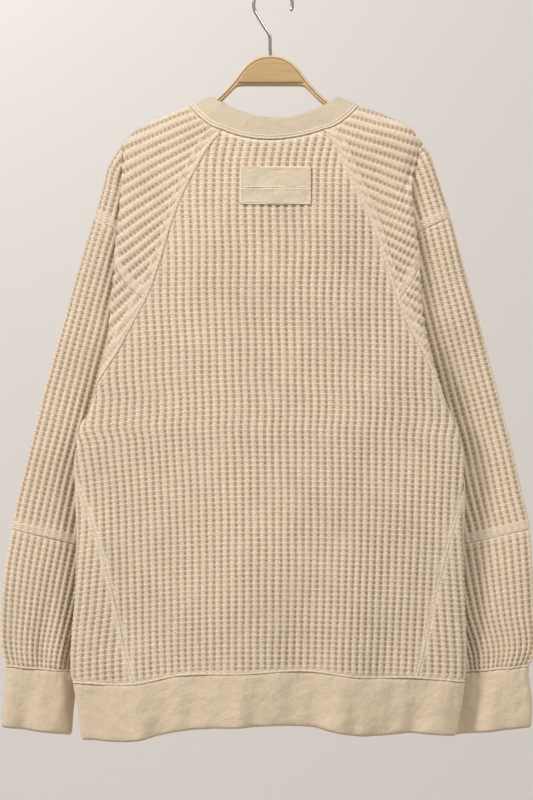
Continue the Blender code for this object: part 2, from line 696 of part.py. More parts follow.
def hanger_hook(material):
    """The wire hook: a short stem from the arch, a bend to the side, and three quarters of a circle."""
    centre_down = HOOK_RADIUS - HOOK_WIRE / 2
    stem = ARCH[0].top - SEAM_GAP
    path = [(HANGER_MIDDLE, 0, stem), (-1.6, 0, stem - HOOK_STEM), (-2.6, 0, 53), (-8, 0, 44.5)]
    start = math.radians(215)
    stop = math.radians(-22)
    for i in range(19):
        angle = start + (stop - start) * i / 18
        across = HOOK_CENTRE + HOOK_RADIUS * math.cos(angle)
        path.append((across, 0, centre_down - HOOK_RADIUS * math.sin(angle)))
    radii = np.full(len(path), HOOK_WIRE / 2)
    return tube_along("hanger_hook", path, radii, 8, material)


def main():
    for item in list(bpy.data.objects):
        bpy.data.objects.remove(item, do_unlink=True)
    knit = cloth("waffle knit", (0.66, 0.54, 0.40), 0.95)
    jersey = cloth("jersey", (0.62, 0.50, 0.37), 0.9)
    wood = cloth("light wood", (0.72, 0.52, 0.25), 0.5)
    inlay = cloth("tan inlay", (0.62, 0.40, 0.18), 0.6)
    steel = metal("steel", (0.75, 0.74, 0.72), 0.25)

    share = spread(0, 1, 15)
    back = body_panel(False, share)
    front = body_panel(True, share)
    panel_gap = underarm_gap(ARMHOLE_ROWS + [UNDERARM_ROW + 1 + i for i in range(len(SIDE_ROWS))])
    wall("back_panel", back, WALL, knit, side_gap=panel_gap)
    wall("front_panel", front, WALL, knit, side_gap=panel_gap)

    caps = {}
    columns = spread(0, 1, 18)
    ring = np.array(RING_COLUMNS) / 18
    for side, word in zip(SIDES, ("left", "right")):
        caps[side] = arm_grid(side, CAP_ROWS, columns)
        wall("shoulder_" + word, caps[side], WALL, knit, gap=ARM_GAP)
        upper = arm_grid(side, SLEEVE_ROWS, columns)
        wall("sleeve_upper_" + word, upper, WALL, knit, gap=ARM_GAP, side_gap=underarm_gap(SLEEVE_ROWS))
        lower = arm_grid(side, np.linspace(ELBOW_ROW, CUFF_ROW, 7), ring)
        wall("sleeve_lower_" + word, lower, WALL, knit, closed=True)
        cuff = arm_grid(side, np.linspace(CUFF_ROW, CUFF_END_ROW, 3), ring)
        wall("cuff_" + word, cuff, BAND_WALL, jersey, closed=True, gap=BAND_GAP)
        wall("side_panel_" + word, side_panel(side, 5), WALL, knit)

    wall("hem_band", hem_band(52), BAND_WALL, jersey, closed=True, gap=BAND_GAP)
    loop = neck_loop(back[0][0], front[0][0], caps[-1][0][0], caps[1][0][0])
    wall("neckband", neckband(loop, 2), BAND_WALL, jersey, closed=True, gap=NECKBAND_GAP)
    wall("back_patch", patch_grid(6, 4), PATCH_WALL, jersey)

    hanger_body(wood)
    hanger_panel(inlay)
    hanger_hook(steel)


main()
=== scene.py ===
import math
from collections import namedtuple
from functools import partial

import bpy
import numpy as np
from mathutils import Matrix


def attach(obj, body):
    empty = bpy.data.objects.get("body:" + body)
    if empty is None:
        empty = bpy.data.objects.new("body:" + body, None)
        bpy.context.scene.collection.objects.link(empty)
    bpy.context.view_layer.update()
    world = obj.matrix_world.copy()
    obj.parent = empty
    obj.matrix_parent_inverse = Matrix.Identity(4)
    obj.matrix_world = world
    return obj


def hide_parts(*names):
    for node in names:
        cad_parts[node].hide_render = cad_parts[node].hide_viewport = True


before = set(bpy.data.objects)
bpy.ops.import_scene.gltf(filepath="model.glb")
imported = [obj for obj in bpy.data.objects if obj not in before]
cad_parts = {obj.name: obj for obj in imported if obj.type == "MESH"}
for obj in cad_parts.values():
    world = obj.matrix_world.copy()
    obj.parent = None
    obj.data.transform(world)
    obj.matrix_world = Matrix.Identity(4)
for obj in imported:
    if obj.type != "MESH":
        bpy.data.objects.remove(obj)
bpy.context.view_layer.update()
print("frame loaded")

# Shapes are worked out in millimetres as (across, depth, down): across to the right, depth away from
# the viewer of the garment's back, down below the point where the hook hangs.
mm = 0.001
sides = {-1: "left", 1: "right"}
cloth = dict(wall=2.4, bandWall=3.0)

# ---- the hanging form: the same sizes as the solids ----
BodyRow = namedtuple("BodyRow", "down left right back front push")
bodyTable = [
    BodyRow(125, -75, 82, 13, 13, 0),
    BodyRow(132, -90, 96, 16, 15.5, 0),
    BodyRow(142, -112, 122, 20, 18, 0),
    BodyRow(152, -136, 146, 23, 20, 0),
    BodyRow(167, -157, 160, 26, 22, 0),
    BodyRow(180, -161, 158, 28, 23, 3),
    BodyRow(196, -161, 152, 30, 23.5, 6),
    BodyRow(224, -164, 152, 32, 24, 8),
    BodyRow(257, -167, 155, 33, 25, 10),
    BodyRow(290, -170, 160, 34, 26, 12),
    BodyRow(345, -175, 163, 34, 26, 12),
    BodyRow(400, -180, 172, 33, 26, 12),
    BodyRow(438, -190, 183, 33, 25, 12),
    BodyRow(455, -193, 188, 33, 25, 12),
    BodyRow(471, -200, 195, 33, 25, 12),
    BodyRow(488, -210, 203, 33, 25, 12),
    BodyRow(505, -213, 207, 32, 25, 12),
    BodyRow(600, -212, 209, 32, 25, 11),
    BodyRow(675, -215, 211, 32, 26, 10),
    BodyRow(761, -217, 211, 31, 27, 8),
    BodyRow(790, -212, 207, 30, 27, 7),
    BodyRow(827, -206, 198, 28, 25, 6),
]

# Seams by their turn round the body: 0 at the middle of the back, 90 at the side fold.
SeamRow = namedtuple("SeamRow", "down left right")
raglanBack = [
    SeamRow(160, -22, 20.3), SeamRow(187, -27.5, 30.2), SeamRow(231, -35.8, 40.4),
    SeamRow(269, -41.5, 47.5), SeamRow(304, -45.5, 51.9), SeamRow(345, -52, 59),
    SeamRow(379, -62.3, 66.8), SeamRow(411, -74, 77.7), SeamRow(438, -90, 83),
    SeamRow(455, -109, 88), SeamRow(470, -121, 106), SeamRow(482, -127, 127),
]
raglanFront = [
    SeamRow(178, -151, 150), SeamRow(215, -145, 143), SeamRow(260, -138, 136),
    SeamRow(320, -131, 130), SeamRow(380, -127, 126), SeamRow(430, -125, 124),
    SeamRow(482, -127, 127),
]
sideSeamBack = [
    SeamRow(482, -127, 127), SeamRow(520, -103, 108), SeamRow(554, -79, 86),
    SeamRow(600, -65.3, 70.5), SeamRow(656, -55.8, 60), SeamRow(712, -49, 53.3),
    SeamRow(763, -43.8, 48.2),
]
sideSeamFront = [
    SeamRow(482, -127, 127), SeamRow(560, -129, 129), SeamRow(660, -132, 131),
    SeamRow(763, -136, 134),
]
underarm = dict(down=482, turn=127, lap=2.8, roll=4)

OutlineRow = namedtuple("OutlineRow", "down left right")
outline = [
    OutlineRow(132, -90, 96), OutlineRow(142, -112, 122), OutlineRow(152, -136, 146),
    OutlineRow(167, -157, 160), OutlineRow(182, -168, 171), OutlineRow(197, -177, 177),
    OutlineRow(224, -185, 186), OutlineRow(255, -194, 196), OutlineRow(290, -205, 205),
    OutlineRow(356, -224, 223), OutlineRow(422, -243, 241), OutlineRow(488, -260, 259),
    OutlineRow(554, -276, 273), OutlineRow(598, -285, 283), OutlineRow(636, -292, 286),
    OutlineRow(686, -296, 288), OutlineRow(730, -295, 289), OutlineRow(748, -291, 282),
    OutlineRow(785, -293, 284), OutlineRow(814, -295, 285),
]

# The arm, row by row from the neckband to the underarm, then the closed sleeve down to the cuff's end.
ArmRow = namedtuple("ArmRow", "outer seam front leave turn inset tuck tuckDepth edgeDepth near far bow")
armRows = [
    ArmRow(132, 160, 178, 138, -76, 0, 136, 0, 0, 9, 15, 5.5),
    ArmRow(142, 193, 222, 150, -76, 0, 147, 0, 0, 9, 15, 2),
    ArmRow(153, 236, 268, 162, -76, 0, 158, 0, 0, 9, 15, 0),
    ArmRow(166, 285, 305, 179, -77, 2, 175, -4, 0, 9, 15, 0),
    ArmRow(196, 322, 327, 218, -88, 3, 210, -5, 2, 9, 16, 0),
    ArmRow(254, 345, 352, 288, -97, 9, 276, -4, 3, 9, 16, 0),
    ArmRow(310, 386, 386, 350, -99, 15, 341, -3, 4, 9, 16, 0),
    ArmRow(367, 423, 423, 410, -101, 21, 398, -1, 5, 8, 16, 0),
    ArmRow(415, 458, 458, 452, -112, 27, 447, 10, 7, 7, 15, 0),
    ArmRow(463, 482, 482, 482, -127, 0, 482, 17, 8, 7, 14, 0),
]
TubeRow = namedtuple("TubeRow", "outer inner left right edgeDepth innerDepth near far")
tubeRows = [
    TubeRow(520, 531, -174, 172, 6, 23, 8, 13),
    TubeRow(597, 619, -194, 190, 5, 22, 9, 13),
    TubeRow(675, 688, -204, 200, 4, 20, 12, 14),
    TubeRow(747, 754, -213, 210, 4, 13, 9, 11),
    TubeRow(815, 824, -221, 199, 4, 13, 8, 9),
]
arm = dict(dropSeam=5, elbow=11, cuff=13, end=14, tuckPart=5 / 18, edgePart=11 / 18)
gathers = dict(count=6, depth=1.6)

HemRow = namedtuple("HemRow", "across seam edge")
hemWave = [
    HemRow(-215, 1, 1), HemRow(-150, 2, 2), HemRow(-100, -8, -9), HemRow(-30, -10, -14),
    HemRow(40, -13, -14), HemRow(95, -6, -4), HemRow(155, -5, -6), HemRow(211, 0, -2),
]
hem = dict(seam=763, edge=826)
neck = dict(middle=4, backDip=11, frontDip=34, narrows=0.735, top=121.2, backEdge=146, frontEdge=192,
            depth=23, backSeam=160, frontSeam=178, backFrom=-22, backTurns=42.3, frontFrom=150,
            frontTurns=59)

FoldRow = namedtuple("FoldRow", "across width depth begins")
backFolds = [
    FoldRow(-122, 26, 3.5, 560), FoldRow(31, 30, 4, 600), FoldRow(126, 26, 4, 540),
    FoldRow(-50, 34, -2.5, 420), FoldRow(80, 30, -2.5, 430), FoldRow(170, 18, 2.5, 500),
    FoldRow(-168, 16, 2.5, 470),
]
frontFolds = [
    FoldRow(-95, 30, 3.5, 520), FoldRow(12, 34, 4, 580), FoldRow(104, 28, 3.5, 500),
    FoldRow(-40, 30, -2.5, 400), FoldRow(60, 30, -2, 430),
]


# Cubic pieces through the values at the knots, with slopes taken from their neighbours.
def hermite(knots, values, at):
    slopes = np.gradient(values, knots, axis=0)
    piece = np.clip(np.searchsorted(knots, at, "right") - 1, 0, len(knots) - 2)
    span = knots[piece + 1] - knots[piece]
    part = (at - knots[piece]) / span
    shape = part.shape + (1,) * (values.ndim - 1)
    part = part.reshape(shape)
    span = span.reshape(shape)
    rise = part * part * (3 - 2 * part)
    start = part * (1 - part) ** 2 * span
    end = part * part * (part - 1) * span
    level = (1 - rise) * values[piece] + rise * values[piece + 1]
    return level + start * slopes[piece] + end * slopes[piece + 1]


def through(table, column, at):
    knots = np.array([row[0] for row in table], float)
    values = np.array([getattr(row, column) for row in table], float)
    return hermite(knots, values, np.asarray(at, float))


# 0 below 0, 1 above 1, and 3v^2 - 2v^3 between.
def ease(value):
    value = np.clip(value, 0, 1)
    return value * value * (3 - 2 * value)


def unit(vectors):
    return vectors / np.maximum(np.linalg.norm(vectors, axis=-1, keepdims=True), 1e-9)


# Each fold is a bell curve across, and its depth grows from where it begins down to the hem.
def foldDepth(table, across, down):
    total = np.zeros(np.broadcast(across, down).shape)
    for fold in table:
        growth = ease((down - fold.begins) / 200)
        total = total + fold.depth * growth * np.exp(-((across - fold.across) / fold.width) ** 2)
    return total


# The flattened body: across = middle + half width times sine of the turn, depth = minus cosine times
# the depth behind or in front, pushed to the viewer near the side folds by sine to the eighth.
def bodyPoint(turn, down):
    angle = np.radians(turn)
    left = through(bodyTable, "left", down)
    right = through(bodyTable, "right", down)
    sine = np.sin(angle)
    cosine = np.cos(angle)
    across = (left + right) / 2 + (right - left) / 2 * sine
    back = through(bodyTable, "back", down)
    front = through(bodyTable, "front", down)
    push = through(bodyTable, "push", down)
    depth = np.where(cosine > 0, -back * cosine, -front * cosine) - push * sine ** 8
    dent = np.where(cosine > 0, foldDepth(backFolds, across, down), -foldDepth(frontFolds, across, down))
    return np.stack(np.broadcast_arrays(across, depth + dent * np.abs(cosine), down), -1)


def bodyNormal(turn, down):
    step = 0.2
    turn, down = np.broadcast_arrays(np.asarray(turn, float), np.asarray(down, float))
    roundBody = bodyPoint(turn + step, down) - bodyPoint(turn - step, down)
    downward = bodyPoint(turn, down + step) - bodyPoint(turn, down - step)
    return unit(np.cross(roundBody, downward))


def seamTurn(table, side, down):
    return through(table, "left" if side < 0 else "right", down)


def turnAt(across, down):
    left = through(bodyTable, "left", down)
    right = through(bodyTable, "right", down)
    sine = np.clip((across - (left + right) / 2) * 2 / (right - left), -1, 1)
    return np.degrees(np.arcsin(sine))


def rowValue(column, row):
    values = np.array([getattr(entry, column) for entry in armRows], float)
    return hermite(np.arange(len(armRows), dtype=float), values, row)


armColumns = dict(
    backShares=(1, 0.75, 0.5, 0.25, 0.1, 0.07, 0.05, 0.035, 0.022, 0.012, 0.004, 0),
    frontShares=(0.006, 0.03, 0.1, 0.25, 0.5, 0.8, 1),
    nearAngles=(150, 120, 90, 60, 30),
    farAngles=(20, 40, 60, 75, 84),
    tubeAngles=(180, 176, 171, 166, 161, 156, 147, 120, 90, 60, 30, 0,
                -30, -60, -90, -120, -148, -168, -180),
)


# Where the arm lies on the body: straight lines from the top of the shoulder to each raglan seam,
# moved to the photo's outline by (outline - top) * (1 - share)^4, most at the top.
def shoulderColumns(side, row):
    outer = rowValue("outer", row)
    top = bodyPoint(side * 90, outer)
    bow = rowValue("bow", row)
    seam = rowValue("seam", row)
    front = rowValue("front", row)
    missing = through(outline, "left" if side < 0 else "right", outer) - top[:, 0]
    behind = bodyPoint(seamTurn(raglanBack, side, seam), seam)
    before = bodyPoint(seamTurn(raglanFront, side, front), front)
    columns = []
    for end, shares, facesBack in ((behind, armColumns["backShares"], True),
                                   (before, armColumns["frontShares"], False)):
        for share in shares:
            across = top[:, 0] + (end[:, 0] - top[:, 0]) * share
            down = outer + (end[:, 2] - outer) * share + bow * 4 * share * (1 - share)
            turn = turnAt(across, down)
            point = bodyPoint(turn if facesBack else 180 - turn, down)
            point[:, 0] += missing * (1 - share) ** 4
            columns.append(point)
    return np.stack(columns, 1)


# Where the sleeve hangs: over the body's side fold, tucked under it, then outward to the arm's edge.
def hangingColumns(side, row):
    outer = rowValue("outer", row)
    seam = rowValue("seam", row)
    front = rowValue("front", row)
    leaveDown = rowValue("leave", row)
    leave = -rowValue("turn", row)
    seamAt = seamTurn(raglanBack, side, seam) * side
    frontAt = seamTurn(raglanFront, side, front) * side
    closing = ease(row - 8)
    lift = underarm["lap"] * closing
    columns = []
    for part in (0, 0.25, 0.5, 0.75, 1.0):
        point = bodyPoint(side * (seamAt + (leave - seamAt) * part), seam + (leaveDown - seam) * part)
        point[..., 1] += lift
        columns.append(point)
    across = through(outline, "left" if side < 0 else "right", outer)
    edge = np.stack([across, rowValue("edgeDepth", row), outer], -1)
    tuckDown = rowValue("tuck", row)
    fold = through(bodyTable, "left" if side < 0 else "right", tuckDown)
    tuck = np.stack([fold - side * rowValue("inset", row), rowValue("tuckDepth", row), tuckDown], -1)
    meeting = bodyPoint(side * underarm["turn"], np.full_like(row, underarm["down"]))
    meeting = meeting + np.array([0, underarm["lap"], 0])
    tuck = tuck + (meeting - tuck) * closing[:, None]
    columns.append(tuck)
    near = rowValue("near", row)
    roll = underarm["roll"] * (1 - closing)
    for angle in armColumns["nearAngles"]:
        part = (1 - math.cos(math.radians(angle))) / 2
        point = edge + (tuck - edge) * part
        point[..., 1] += roll * part ** 4 - near * math.sin(math.radians(angle)) * (1 - part) ** 0.7
        columns.append(point)
    columns.append(edge)
    last = bodyPoint(side * frontAt, front)
    last[..., 1] += lift
    beside = bodyPoint(side * (frontAt - 5 * (1 - closing)), front)
    beside[..., 1] += lift
    far = rowValue("far", row)
    for angle in armColumns["farAngles"]:
        part = 1 - math.cos(math.radians(angle))
        point = edge + (last - edge) * part
        point[..., 1] += far * math.sin(math.radians(angle)) * (1 - part) ** 0.5
        columns.append(point)
    columns.append(beside * 0.7 + last * 0.3)
    columns.append(last)
    return np.stack(columns, 1)


# The closed sleeve: a tilted ellipse between its inner and outer edges.
def tubeColumns(side, row):
    knots = np.arange(9, 9 + len(tubeRows) + 1, dtype=float)
    first = bodyPoint(np.array([side * float(underarm["turn"])]), np.array([float(underarm["down"])]))[0]
    table = [(463, underarm["down"], first[0], 8, first[1] + 4, 7, 10)]
    for tube in tubeRows:
        inner = tube.left if side < 0 else tube.right
        table.append((tube.outer, tube.inner, inner, tube.edgeDepth, tube.innerDepth, tube.near,
                      tube.far))
    outer, innerDown, inner, edgeDepth, innerDepth, near, far = hermite(knots, np.array(table), row).T
    edge = np.stack([through(outline, "left" if side < 0 else "right", outer), edgeDepth, outer], -1)
    inside = np.stack([inner, innerDepth, innerDown], -1)
    columns = []
    for angle in armColumns["tubeAngles"]:
        part = (1 - math.cos(math.radians(angle))) / 2
        point = edge + (inside - edge) * part
        point[..., 1] -= (near if angle > 0 else far) * math.sin(math.radians(angle))
        columns.append(point)
    return np.stack(columns, 1)


# The arm's surface: row 0 is the neckband and row 14 the cuff's end; part 0 is the seam behind.
def armPoint(side, row, part):
    row = np.asarray(row, float)
    part = np.asarray(part, float)
    upper = np.clip(row, 0, len(armRows) - 1)
    lower = np.clip(row, len(armRows) - 1, arm["end"])
    shoulder = shoulderColumns(side, upper)
    hanging = hangingColumns(side, upper)
    tube = tubeColumns(side, lower)
    hang = ease((row - 3) / 1.3)[:, None, None]
    close = ease((row - 8.7) / 1.3)[:, None, None]
    held = shoulder + (hanging - shoulder) * hang
    columns = held + (tube - held) * close
    count = columns.shape[1]
    spine = np.moveaxis(columns, 1, 0)
    surface = np.moveaxis(hermite(np.linspace(0, 1, count), spine, part), 0, 1)
    gather = ease((row - 11.6) / 1.2) * (1 - ease((row - 12.9) / 0.2))
    station = part * (count - 1)
    onTheSides = ease(station - 5.5) * ease(16.5 - station)
    waves = np.sin(2 * math.pi * gathers["count"] * (station - 6) / 10) * onTheSides
    surface[..., 1] += gathers["depth"] * gather[:, None] * waves[None, :]
    return surface


# ---- knit: raised cords that run the length of the cloth, with rungs and round pits between them ----
knit = dict(course=5.6, relief=2.8, rung=0.54, bead=0.13, lumps=0.8)


# Height of the waffle in millimetres about its middle: a cosine cord across, a lower cosine rung
# along, and nothing in the pit.
def waffle(wales, courses):
    cord = (0.5 + 0.5 * np.cos(2 * math.pi * wales)) ** 1.5
    rung = (0.5 + 0.5 * np.cos(2 * math.pi * courses)) ** 0.7
    level = cord * (1 - knit["bead"] * (1 - rung)) + (1 - cord) * rung * knit["rung"]
    return (level - 0.5) * knit["relief"]


# Slow unevenness: three crossed sine waves of unlike lengths, between about -1 and 1.
def wander(across, down, seed):
    total = np.sin(across / 17 + down / 41 + seed)
    total = total + np.sin(across / 29 - down / 23 + 2.3 * seed)
    return (total + np.sin(down / 61 + across / 53 + 0.7 * seed)) / 3


def gridQuads(rows, columns, closed=False):
    index = np.arange(rows * columns).reshape(rows, columns)
    if closed:
        index = np.concatenate([index, index[:, :1]], 1)
    corners = (index[:-1, :-1], index[1:, :-1], index[1:, 1:], index[:-1, 1:])
    return np.stack([corner.ravel() for corner in corners], 1)


# Puts points, given as across, depth and down, into a mesh. Points in one place are joined, and the
# cells that a clipped border closes up become triangles or go.
def makePiece(name, points, quads, material, uv=None, opened=None, outward=None):
    points = points.reshape(-1, 3)
    places, kept, joined = np.unique(np.round(points, 3), axis=0, return_index=True, return_inverse=True)
    joined = joined.reshape(-1)
    places = points[kept]
    faces = joined[quads]
    same = faces == np.roll(faces, -1, axis=1)
    crossed = (faces[:, 0] == faces[:, 2]) | (faces[:, 1] == faces[:, 3])
    whole = (same.sum(1) == 0) & ~crossed
    split = (same.sum(1) == 1) & ~crossed
    triangles = faces[split][~same[split]].reshape(-1, 3)
    cornersOfTriangles = quads[split][~same[split]].reshape(-1, 3)
    loops = np.concatenate([faces[whole].ravel(), triangles.ravel()])
    sources = np.concatenate([quads[whole].ravel(), cornersOfTriangles.ravel()])
    totals = np.concatenate([np.full(whole.sum(), 4), np.full(len(triangles), 3)])
    starts = np.concatenate([[0], np.cumsum(totals)[:-1]])
    world = np.stack([places[:, 0], places[:, 1], -places[:, 2]], 1) * mm
    if outward is not None:
        normal = outward.reshape(-1, 3)[kept] * np.array([1, 1, -1])
        a, b, c = (world[faces[whole][:, k]] for k in (0, 1, 2))
        if (np.cross(b - a, c - a) * normal[faces[whole][:, 0]]).sum() < 0:
            order = np.concatenate([np.arange(s, s + t)[::-1] for s, t in ((0, 4), (0, 3))])
            quadLoops = len(faces[whole]) * 4
            loops = np.concatenate([loops[:quadLoops].reshape(-1, 4)[:, order[:4]].ravel(),
                                    loops[quadLoops:].reshape(-1, 3)[:, order[4:]].ravel()])
            sources = np.concatenate([sources[:quadLoops].reshape(-1, 4)[:, order[:4]].ravel(),
                                      sources[quadLoops:].reshape(-1, 3)[:, order[4:]].ravel()])
    mesh = bpy.data.meshes.new(name)
    mesh.vertices.add(len(world))
    mesh.vertices.foreach_set("co", world.astype(np.float32).ravel())
    mesh.loops.add(len(loops))
    mesh.loops.foreach_set("vertex_index", loops.astype(np.int32))
    mesh.polygons.add(len(totals))
    mesh.polygons.foreach_set("loop_start", starts.astype(np.int32))
    mesh.polygons.foreach_set("loop_total", totals.astype(np.int32))
    if uv is not None:
        layer = mesh.uv_layers.new(name="clothUv")
        layer.data.foreach_set("uv", uv.reshape(-1, 2)[sources].astype(np.float32).ravel())
    if opened is not None:
        values = mesh.attributes.new("open", "FLOAT", "POINT")
        values.data.foreach_set("value", opened.ravel()[kept].astype(np.float32))
    mesh.update(calc_edges=True)
    mesh.validate()
    mesh.shade_smooth()
    mesh.materials.append(material)
    piece = bpy.data.objects.new(name, mesh)
    bpy.context.collection.objects.link(piece)
    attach(piece, "root")
    return piece


# ---- materials ----
def newMaterial(name, roughness, metallic=0.0, sheen=0.0):
    material = bpy.data.materials.new(name)
    material.use_nodes = True
    shader = material.node_tree.nodes["Principled BSDF"]
    shader.inputs["Roughness"].default_value = roughness
    shader.inputs["Metallic"].default_value = metallic
    shader.inputs["Sheen Weight"].default_value = sheen
    shader.inputs["Sheen Roughness"].default_value = 0.6
    return material, shader


def addNode(material, kind, **inputs):
    node = material.node_tree.nodes.new(kind)
    for key, value in inputs.items():
        node.inputs[key.replace("_", " ")].default_value = value
    return node


def join(material, source, output, target, socket):
    material.node_tree.links.new(source.outputs[output], target.inputs[socket])


def mathNode(material, operation, first, second=0.0):
    node = material.node_tree.nodes.new("ShaderNodeMath")
    node.operation = operation
    for socket, value in zip(node.inputs, (first, second)):
        if isinstance(value, (int, float)):
            socket.default_value = value
        else:
            material.node_tree.links.new(value, socket)
    return node.outputs[0]


def rangeNode(material, value, low, high, start=0.0, end=1.0):
    node = addNode(material, "ShaderNodeMapRange")
    for key, amount in zip(("From Min", "From Max", "To Min", "To Max"), (low, high, start, end)):
        node.inputs[key].default_value = amount
    material.node_tree.links.new(value, node.inputs["Value"])
    return node.outputs["Result"]


def mixColour(material, factor, first, second):
    node = material.node_tree.nodes.new("ShaderNodeMix")
    node.data_type = "RGBA"
    for key, colour in (("A", first), ("B", second)):
        if isinstance(colour, tuple):
            node.inputs[key].default_value = colour
        else:
            material.node_tree.links.new(colour, node.inputs[key])
    material.node_tree.links.new(factor, node.inputs["Factor"])
    return node.outputs["Result"]


def noiseNode(material, vector, scale, detail, roughness=0.6):
    node = addNode(material, "ShaderNodeTexNoise", Scale=scale, Detail=detail, Roughness=roughness)
    material.node_tree.links.new(vector, node.inputs["Vector"])
    return node.outputs["Fac"]


# A chain of bumps, each a height with its distance in metres and its strength.
def bumpChain(material, shader, heights):
    previous = None
    for height, distance, strength in heights:
        node = addNode(material, "ShaderNodeBump", Strength=strength, Distance=distance)
        material.node_tree.links.new(height, node.inputs["Height"])
        if previous:
            material.node_tree.links.new(previous, node.inputs["Normal"])
        previous = node.outputs["Normal"]
    material.node_tree.links.new(previous, shader.inputs["Normal"])


# The pit colour is partly the yarn's darker tone and partly painted shade in the waffle's pits and rung
# valleys.
knitLook = dict(cord=(0.84, 0.70, 0.54, 1), pitAndShade=(0.46, 0.335, 0.22, 1), fleck=(0.58, 0.445, 0.305, 1),
                # The edge colour, lighter than the cords, is a painted highlight on folded edges and
                # welt ridges.
                edge=(0.90, 0.81, 0.68, 1), stitches=2.0, slant=1.5)


# Waffle knit. The UV map counts cords and courses, so a triangle wave of each gives the distance
# from the cord and from the rung, and their gaps the pits, coloured partly by the yarn's darker tone
# and partly by painted shade; the stitches are chevrons on each cord,
# sin(2 pi (stitches * course + slant * distance from the cord)), which also darken the colour in
# their troughs as painted shade between the loops. The open attribute is 1 where the waffle stands
# in full, 0 where it is pressed, with less painted pit shade, and below 0 on a folded edge, which
# gets a painted highlight.
def knitMaterial():
    material, shader = newMaterial("waffleKnit", 0.92, sheen=0.12)
    place = addNode(material, "ShaderNodeTexCoord")
    counts = addNode(material, "ShaderNodeSeparateXYZ")
    join(material, place, "UV", counts, "Vector")
    opened = addNode(material, "ShaderNodeAttribute")
    opened.attribute_name = "open"
    standing = rangeNode(material, opened.outputs["Fac"], 0.0, 1.0)
    foldHighlight = rangeNode(material, opened.outputs["Fac"], 0.0, -1.0)
    mottle = noiseNode(material, place.outputs["Object"], 520.0, 4.0, 0.7)
    slow = noiseNode(material, place.outputs["Object"], 14.0, 3.0)
    fuzz = noiseNode(material, place.outputs["Object"], 1300.0, 3.0, 0.7)
    fromCord = mathNode(material, "PINGPONG", counts.outputs["X"], 0.5)
    fromRung = mathNode(material, "PINGPONG", counts.outputs["Y"], 0.5)
    ragged = mathNode(material, "ADD", fromCord, rangeNode(material, mottle, 0.3, 0.7, -0.07, 0.07))
    gap = rangeNode(material, ragged, 0.22, 0.36)
    hole = rangeNode(material, fromRung, 0.05, 0.3, 0.42, 1.0)
    deep = mathNode(material, "MULTIPLY", mathNode(material, "MULTIPLY", gap, hole), standing)
    # Painted shade, together with the yarn's darker tone: the pits and rung valleys take the pit colour,
    # less where the waffle is pressed.
    base = mixColour(material, deep, knitLook["cord"], knitLook["pitAndShade"])
    flecked = rangeNode(material, mottle, 0.45, 0.68, 0.0, 0.55)
    base = mixColour(material, flecked, base, knitLook["fleck"])
    # Painted highlight: where the open attribute falls below 0, folded edges and welt ridges turn
    # towards the lighter edge colour.
    base = mixColour(material, foldHighlight, base, knitLook["edge"])
    slanted = mathNode(material, "MULTIPLY", fromCord, knitLook["slant"])
    climbed = mathNode(material, "MULTIPLY", counts.outputs["Y"], knitLook["stitches"])
    phase = mathNode(material, "MULTIPLY", mathNode(material, "ADD", slanted, climbed), 2 * math.pi)
    stitch = rangeNode(material, mathNode(material, "SINE", phase), -1.0, 1.0)
    # Slow random tone of the yarn, times painted shade in the stitch troughs that darkens them by up to
    # 14 percent.
    toneAndStitchShade = mathNode(material, "MULTIPLY", rangeNode(material, slow, 0.3, 0.7, 0.94, 1.05),
                    rangeNode(material, stitch, 0.0, 0.7, 0.86, 1.04))
    shade = material.node_tree.nodes.new("ShaderNodeVectorMath")
    shade.operation = "SCALE"
    material.node_tree.links.new(base, shade.inputs[0])
    material.node_tree.links.new(toneAndStitchShade, shade.inputs["Scale"])
    join(material, shade, 0, shader, "Base Color")
    ridge = rangeNode(material, gap, 0.0, 1.0, 1.0, 0.0)
    bumpChain(material, shader, ((ridge, 0.0007, 0.6), (stitch, 0.0006, 0.7), (mottle, 0.0013, 0.7),
                                 (fuzz, 0.0009, 0.6)))
    return material


# A noise stretched along some axes, by scales for each axis in the given coordinates.
def stretchedNoise(material, vector, scales, scale, detail, roughness):
    stretch = addNode(material, "ShaderNodeMapping")
    stretch.inputs["Scale"].default_value = scales
    material.node_tree.links.new(vector, stretch.inputs["Vector"])
    return noiseNode(material, stretch.outputs["Vector"], scale, detail, roughness)


# Jersey: close upright ribs from the piece's UV map, in millimetres, sin(2 pi across / rib), with a
# soft marl and slow creases; the rib valleys are mixed towards the marl colour as painted shade.
def jerseyMaterial(name, colour, marl, rib):
    material, shader = newMaterial(name, 0.9, sheen=0.12)
    place = addNode(material, "ShaderNodeTexCoord")
    across = addNode(material, "ShaderNodeSeparateXYZ")
    join(material, place, "UV", across, "Vector")
    turns = mathNode(material, "MULTIPLY", across.outputs["X"], 2 * math.pi / rib)
    ribs = rangeNode(material, mathNode(material, "SINE", turns), -1.0, 1.0)
    streak = stretchedNoise(material, place.outputs["UV"], (0.75, 0.42, 1.0), 1.0, 4.0, 0.6)
    grain = noiseNode(material, place.outputs["UV"], 1.7, 3.0, 0.7)
    slow = noiseNode(material, place.outputs["UV"], 0.055, 3.0, 0.5)
    base = mixColour(material, rangeNode(material, streak, 0.36, 0.68, 0.0, 0.6), colour, marl)
    base = mixColour(material, rangeNode(material, grain, 0.45, 0.7, 0.0, 0.5), base, marl)
    # Painted shade between the ribs: the valleys mix up to 16 percent towards the marl colour.
    base = mixColour(material, rangeNode(material, ribs, 0.6, 0.0, 0.0, 0.16), base, marl)
    material.node_tree.links.new(base, shader.inputs["Base Color"])
    bumpChain(material, shader, ((ribs, 0.0004, 0.3), (grain, 0.0005, 0.4), (streak, 0.0009, 0.35),
                                 (slow, 0.006, 0.6)))
    return material


